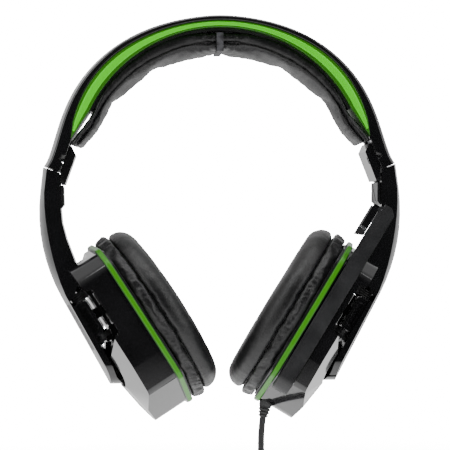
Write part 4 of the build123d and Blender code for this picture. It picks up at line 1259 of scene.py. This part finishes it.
CUSHION_BACK = -2.9
CUSHION_SECTION = [
    # (share of the width from the hole, millimetres added outwards, depth towards the head)
    (1, -2.55, 0.05), (1, -1.1, 0.05), (1, -0.45, 0.5), (1, 0.15, 1.7), (1, 0.45, 3.2), (1, 0.4, 4.7),
    (1, -0.1, 5.9), (1, -0.9, 6.6), (1, -1.25, 6.85), (1, -0.8, 7.1), (1, 0.0, 7.9), (1, 0.5, 9.6),
    (1, 0.55, 11.8), (1, 0.1, 14.0), (1, -1.3, 16.3), (1, -3.6, 18.2), (0.72, 0, 19.2), (0.5, 0, 19.5),
    (0.28, 0, 18.9), (0, 3.2, 17.6), (0, 1.5, 15.6), (0, 0.6, 13.0), (0, 0.3, 9.5), (0, 0.4, 6.0),
    (0, 0.6, 3.4), (0, 1.0, 1.75), (0.25, 0, 1.7), (0.6, 0, 1.7), (1, -3.3, 1.7), (1, -2.7, 1.5),
]
CUSHION_SEAM = 8
HELD_ROWS = {0: 1.0, 1: 1.0, 7: 0.6, 8: 1.0, 9: 0.6, 24: 0.7, 25: 1.0, 26: 1.0, 27: 1.0, 28: 1.0, 29: 1.0}
OVAL_HALF = (42.3, 46.4)
BACK_HALF = (42.9, 49.0)
HOLE_HALF = (20.5, 26.0)


def cushion_rows(steps):
    """Sections round the cushion in the left cup's axes, in metres."""
    rows = []
    for step in range(steps):
        turn = 2 * pi * step / steps
        hole = Vector((HOLE_HALF[0] * sin(turn), HOLE_HALF[1] * cos(turn)))
        row = []
        for share, extra, depth in CUSHION_SECTION:
            half = BACK_HALF if depth < 6.8 and share == 1 and extra > -2.6 else OVAL_HALF
            across = Vector((half[0] * sin(turn), half[1] * cos(turn))) - hole
            heading = across.normalized()
            place = hole + across * share + heading * extra
            row.append(Vector((CUSHION_BACK - depth, place.x, OVAL_UP + place.y)) * MM)
        rows.append(row)
    return rows


def cushion_height(settings, seed):
    """Fine slanting gathers behind the seam, puckers in front of it and slow swelling."""
    def height(place):
        turn = atan2(place.y, place.z - OVAL_UP * MM)
        depth = CUSHION_BACK - place.x / MM
        outside = hypot(place.y / OVAL_HALF[0], (place.z - OVAL_UP * MM) / OVAL_HALF[1]) / MM
        if outside < 0.82:
            return noise.noise(place * 60 + seed) * 0.00025
        wander = noise.noise(Vector((turn * 3.0, depth * 0.25, 0)) + seed)
        amount = 0.45 + 0.75 * noise.noise(Vector((turn * 1.7, 0, 4)) + seed)
        back = exp(-((depth - 3.9) / 2.3) ** 2) if depth < 6.85 else 0
        phase = turn * settings.gathers / 2 + depth * 0.42 + 2.4 * wander
        ridge = (1 - abs(sin(phase))) ** 1.6
        second = (1 - abs(sin(phase * 0.53 + depth * 0.5 + 1.3))) ** 2
        pucker = exp(-max(0.0, depth - 6.85) / 1.7) if depth >= 6.85 else 0
        front = (1 - abs(sin(turn * settings.stitches / 2 + wander))) * pucker
        swell = noise.noise(place * 55 + seed) * 0.0003
        folds = noise.noise(Vector((turn * 9, depth * 0.12, 9)) + seed) * 0.00018
        gathers = settings.gather * max(0.15, amount) * back * (ridge + 0.7 * second)
        return swell + folds - gathers - settings.gather * 0.55 * front
    return height


class HEADSET_OT_cushions(bpy.types.Operator):
    """Makes both ear cushions with their seams, gathers and stitches"""
    bl_idname = "headset.cushions"
    bl_label = "Ear cushions"

    def execute(self, context):
        settings = context.scene.headset_cushions
        rows = cushion_rows(settings.steps)
        master = skin("cushion_form", rows, round_rows=True)
        count = len(CUSHION_SECTION)
        pins = {r * count + c: weight for r in range(len(rows)) for c, weight in HELD_ROWS.items()}
        inflate(master, pins, settings.pressure, 0.0013)
        smoothed(master, 2)
        for side in SIDES:
            self.cushion(side, master, rows, settings)
        bpy.data.objects.remove(master)
        return {"FINISHED"}

    def cushion(self, side, master, rows, settings):
        seed = Vector((1.7, 0.4, 2.9)) if side == "left" else Vector((8.1, 5.3, 0.6))
        piece = link(side + "_cushion_cover", master.data.copy())
        push(piece, cushion_height(settings, seed))
        place = cup_matrix()
        if side == "right":
            place = Matrix.Scale(-1, 4, (1, 0, 0)) @ place
        piece.data.transform(place)
        if side == "right":
            piece.data.flip_normals()
        settle(piece, side + "_cup", finishes["leatherette"], "leatherette", side + "_ear_cushion")
        line = [place @ row[CUSHION_SEAM] for row in rows]
        size = (0.0004, 0.0004, 0.0018)
        paths = [(line, True)]
        threads = repeated(side + "_cushion_stitches", paths, size, finishes["thread"], settings.stitches)
        settle(threads, side + "_cup", finishes["thread"], "leatherette")


# ---------------------------------------------------------------- cups


class HEADSET_OT_cups(bpy.types.Operator):
    """Makes the cup housings, their green rings, the baffles and the speaker cloths"""
    bl_idname = "headset.cups"
    bl_label = "Ear cups"

    def execute(self, context):
        shells = context.scene.headset_shells
        for side in SIDES:
            body = side + "_cup"
            moulded(side + "_cup_housing", body, "gloss_black", shells.edge)
            moulded(side + "_accent_ring", body, "green_ring", RING_EDGE, "green_accent", 50)
            moulded(side + "_baffle", body, "satin_black", shells.fine_edge)
            self.speaker_cloth(side)
        return {"FINISHED"}

    def speaker_cloth(self, side):
        """A taut cloth disc that bows a little over its rim."""
        low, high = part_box(side + "_speaker_mesh")
        middle = (low + high) / 2
        radius = (high.y - low.y) / 2 / abs(CUP_BACK.y) * 0.985
        sign = 1 if side == "left" else -1
        heading = -Vector((sign * CUP_OUT.x, CUP_OUT.y, CUP_OUT.z))
        start = middle - heading * 0.00028
        profile = [(0, 0), (0, radius), (0.0004, radius)]
        profile += [(0.0004 + 0.0008 * (1 - (k / 10) ** 2), radius * k / 10) for k in range(9, -1, -1)]
        cloth = turned(side + "_speaker_cloth", profile, start, heading, 72)
        sharpen(cloth, 45)
        settle(cloth, side + "_cup", finishes["speaker_cloth"], "speaker_cloth", side + "_speaker_mesh")


# ---------------------------------------------------------------- arms


# Spans (out, up) of the webs beyond the pivot block and the runs of their ribs, in the left cup's axes
LOUVRE_WEBS = [
    ((15.3, 23.2), (28.3, 32.9)), ((15.3, 19.4), (5.7, 8.7)), ((19.2, 21.6), (4.3, 8.7)),
    ((21.4, 23.6), (3.4, 8.7)),
]
LOUVRE_RUNS = [(28.9, 32.4), (6.1, 8.2)]
RIB_SIZE = (0.0016, 0.0062)


class HEADSET_OT_arms(bpy.types.Operator):
    """Makes the arms, their inner covers, the pivot blocks and the louvres beside them"""
    bl_idname = "headset.arms"
    bl_label = "Arms"

    def execute(self, context):
        shells = context.scene.headset_shells
        for side in SIDES:
            body = side + "_arm"
            for node, material, edge in (
                ("_arm_shell", "gloss_black", shells.edge),
                ("_arm_insert", "satin_black", shells.fine_edge),
                ("_pivot_bracket", "gloss_black", shells.edge),
            ):
                moulded(side + node, body, material, edge)
            self.bracket_screws(side, body)
            self.louvres(side, body, context.scene.headset_trim)
        return {"FINISHED"}

    def louvres(self, side, body, trim):
        """Ribs beyond both ends of the pivot block, in front of a dark web that closes the gap there."""
        mesh = bmesh.new()
        paths = []
        for back in (-1, 1):
            for (out_low, out_high), (up_low, up_high) in LOUVRE_WEBS:
                size = Vector((out_high - out_low, 1.2, up_high - up_low)) * MM
                middle = Vector(((out_low + out_high) / 2, back * 11.0, (up_low + up_high) / 2)) * MM
                place = cup_matrix() @ Matrix.Translation(middle) @ Matrix.Diagonal((*size, 1))
                bmesh.ops.create_cube(mesh, size=1, matrix=place)
            for up_low, up_high in LOUVRE_RUNS:
                ends = [in_cup(19.9, back * 12.4, up) for up in (up_low, up_high)]
                paths.append((mirrored(ends, side), False))
        if side == "right":
            bmesh.ops.transform(mesh, matrix=Matrix.Scale(-1, 4, (1, 0, 0)), verts=mesh.verts)
            bmesh.ops.reverse_faces(mesh, faces=mesh.faces)
        web = made(side + "_louvre_web", mesh)
        settle(web, body, finishes["soft_rubber"], "soft_rubber")
        size = (*RIB_SIZE, trim.rib_thickness)
        satin = finishes["satin_black"]
        ribs = repeated(side + "_louvre_ribs", paths, size, satin, trim.rib_count, rounding=0)
        settle(ribs, body, finishes["satin_black"], "satin_black")

    def bracket_screws(self, side, body):
        """Four screws, driven outwards from the head side of the block."""
        sign = 1 if side == "left" else -1
        tilt = Vector(joints["left_cup_tilt"]["axis"])
        out = Vector((CUP_OUT.x, 0, CUP_OUT.z)).normalized()
        outward = Vector((sign * out.x, 0, out.z))
        if abs(tilt.y) < 0.9:
            raise RuntimeError("the cup tilt has to turn about the front-to-back line")
        screws(side + "_block_screws", side + "_bracket_screws", body, outward, 0.005)


# ---------------------------------------------------------------- microphone


class HEADSET_OT_microphone(bpy.types.Operator):
    """Makes the boom and the folding microphone head"""
    bl_idname = "headset.microphone"
    bl_label = "Microphone"

    def execute(self, context):
        shells = context.scene.headset_shells
        for node, body, finish_name, slot, edge in (
            ("boom_arm", "mic_boom", "satin_black", "satin_black", shells.edge),
            ("mic_head_shell", "mic_head", "gloss_black", "gloss_black", shells.fine_edge),
            ("mic_ring", "mic_head", "silver", "steel", 0.00015),
            ("mic_cap", "mic_head", "satin_black", "satin_black", shells.fine_edge),
        ):
            moulded(node, body, finish_name, edge, slot)
        return {"FINISHED"}


# ---------------------------------------------------------------- parts shown as they are packed

KEPT_FINISHES = {
    "spring_band": "steel", "pad_backing": "satin_black", "slider_blade": "steel", "blade_screws": "steel",
    "pivot_pin": "steel", "baffle_screws": "steel", "driver_frame": "satin_black", "driver_magnet": "steel",
    "driver_diaphragm": "clear_film", "boom_pin": "steel", "mic_pin": "steel", "mic_capsule": "speaker_cloth",
}


class HEADSET_OT_inner_parts(bpy.types.Operator):
    """Gives the inner parts, which are shown as they are packed, their finishes"""
    bl_idname = "headset.inner_parts"
    bl_label = "Inner parts"

    def execute(self, context):
        for name, node in frame["nodes"].items():
            if node.hide_render:
                continue
            plain = name.replace("left_", "").replace("right_", "")
            if plain not in KEPT_FINISHES:
                raise RuntimeError(f"no finish is named for {name}")
            for slot in node.material_slots:
                slot.material = finishes[KEPT_FINISHES[plain]]
        return {"FINISHED"}


# ---------------------------------------------------------------- add-on


class HEADSET_PT_panel(bpy.types.Panel):
    """Sizes, finishes and the pieces in the order that they are made"""
    bl_label = "Headset"
    bl_idname = "HEADSET_PT_panel"
    bl_space_type = "VIEW_3D"
    bl_region_type = "UI"
    bl_category = "Headset"

    def draw(self, context):
        for group, _ in SETTINGS:
            settings = getattr(context.scene, group)
            box = self.layout.box()
            for name in settings.bl_rna.properties.keys():
                if name not in ("rna_type", "name"):
                    box.prop(settings, name)
        for operator in OPERATORS:
            self.layout.operator(operator.bl_idname)


SETTINGS = (
    ("headset_stage", StageSettings), ("headset_finish", FinishSettings), ("headset_shells", ShellSettings),
    ("headset_cushions", CushionSettings), ("headset_pad", PadSettings), ("headset_lead", LeadSettings),
    ("headset_trim", TrimSettings),
)
OPERATORS = (
    HEADSET_OT_finishes, HEADSET_OT_stage, HEADSET_OT_lead, HEADSET_OT_headband, HEADSET_OT_pad,
    HEADSET_OT_cushions, HEADSET_OT_cups, HEADSET_OT_arms, HEADSET_OT_microphone, HEADSET_OT_inner_parts,
)


def register():
    for name, group in SETTINGS:
        bpy.utils.register_class(group)
        setattr(bpy.types.Scene, name, PointerProperty(type=group))
    for made in (*OPERATORS, HEADSET_PT_panel):
        bpy.utils.register_class(made)


def unregister():
    for made in reversed((*OPERATORS, HEADSET_PT_panel)):
        bpy.utils.unregister_class(made)
    for name, group in reversed(SETTINGS):
        delattr(bpy.types.Scene, name)
        bpy.utils.unregister_class(group)


def main():
    register()
    bpy.ops.headset.finishes()
    bpy.ops.headset.stage()
    bpy.ops.headset.lead()
    bpy.ops.headset.headband()
    bpy.ops.headset.pad()
    bpy.ops.headset.cushions()
    bpy.ops.headset.cups()
    bpy.ops.headset.arms()
    bpy.ops.headset.microphone()
    bpy.ops.headset.inner_parts()


if __name__ == "__main__":
    main()
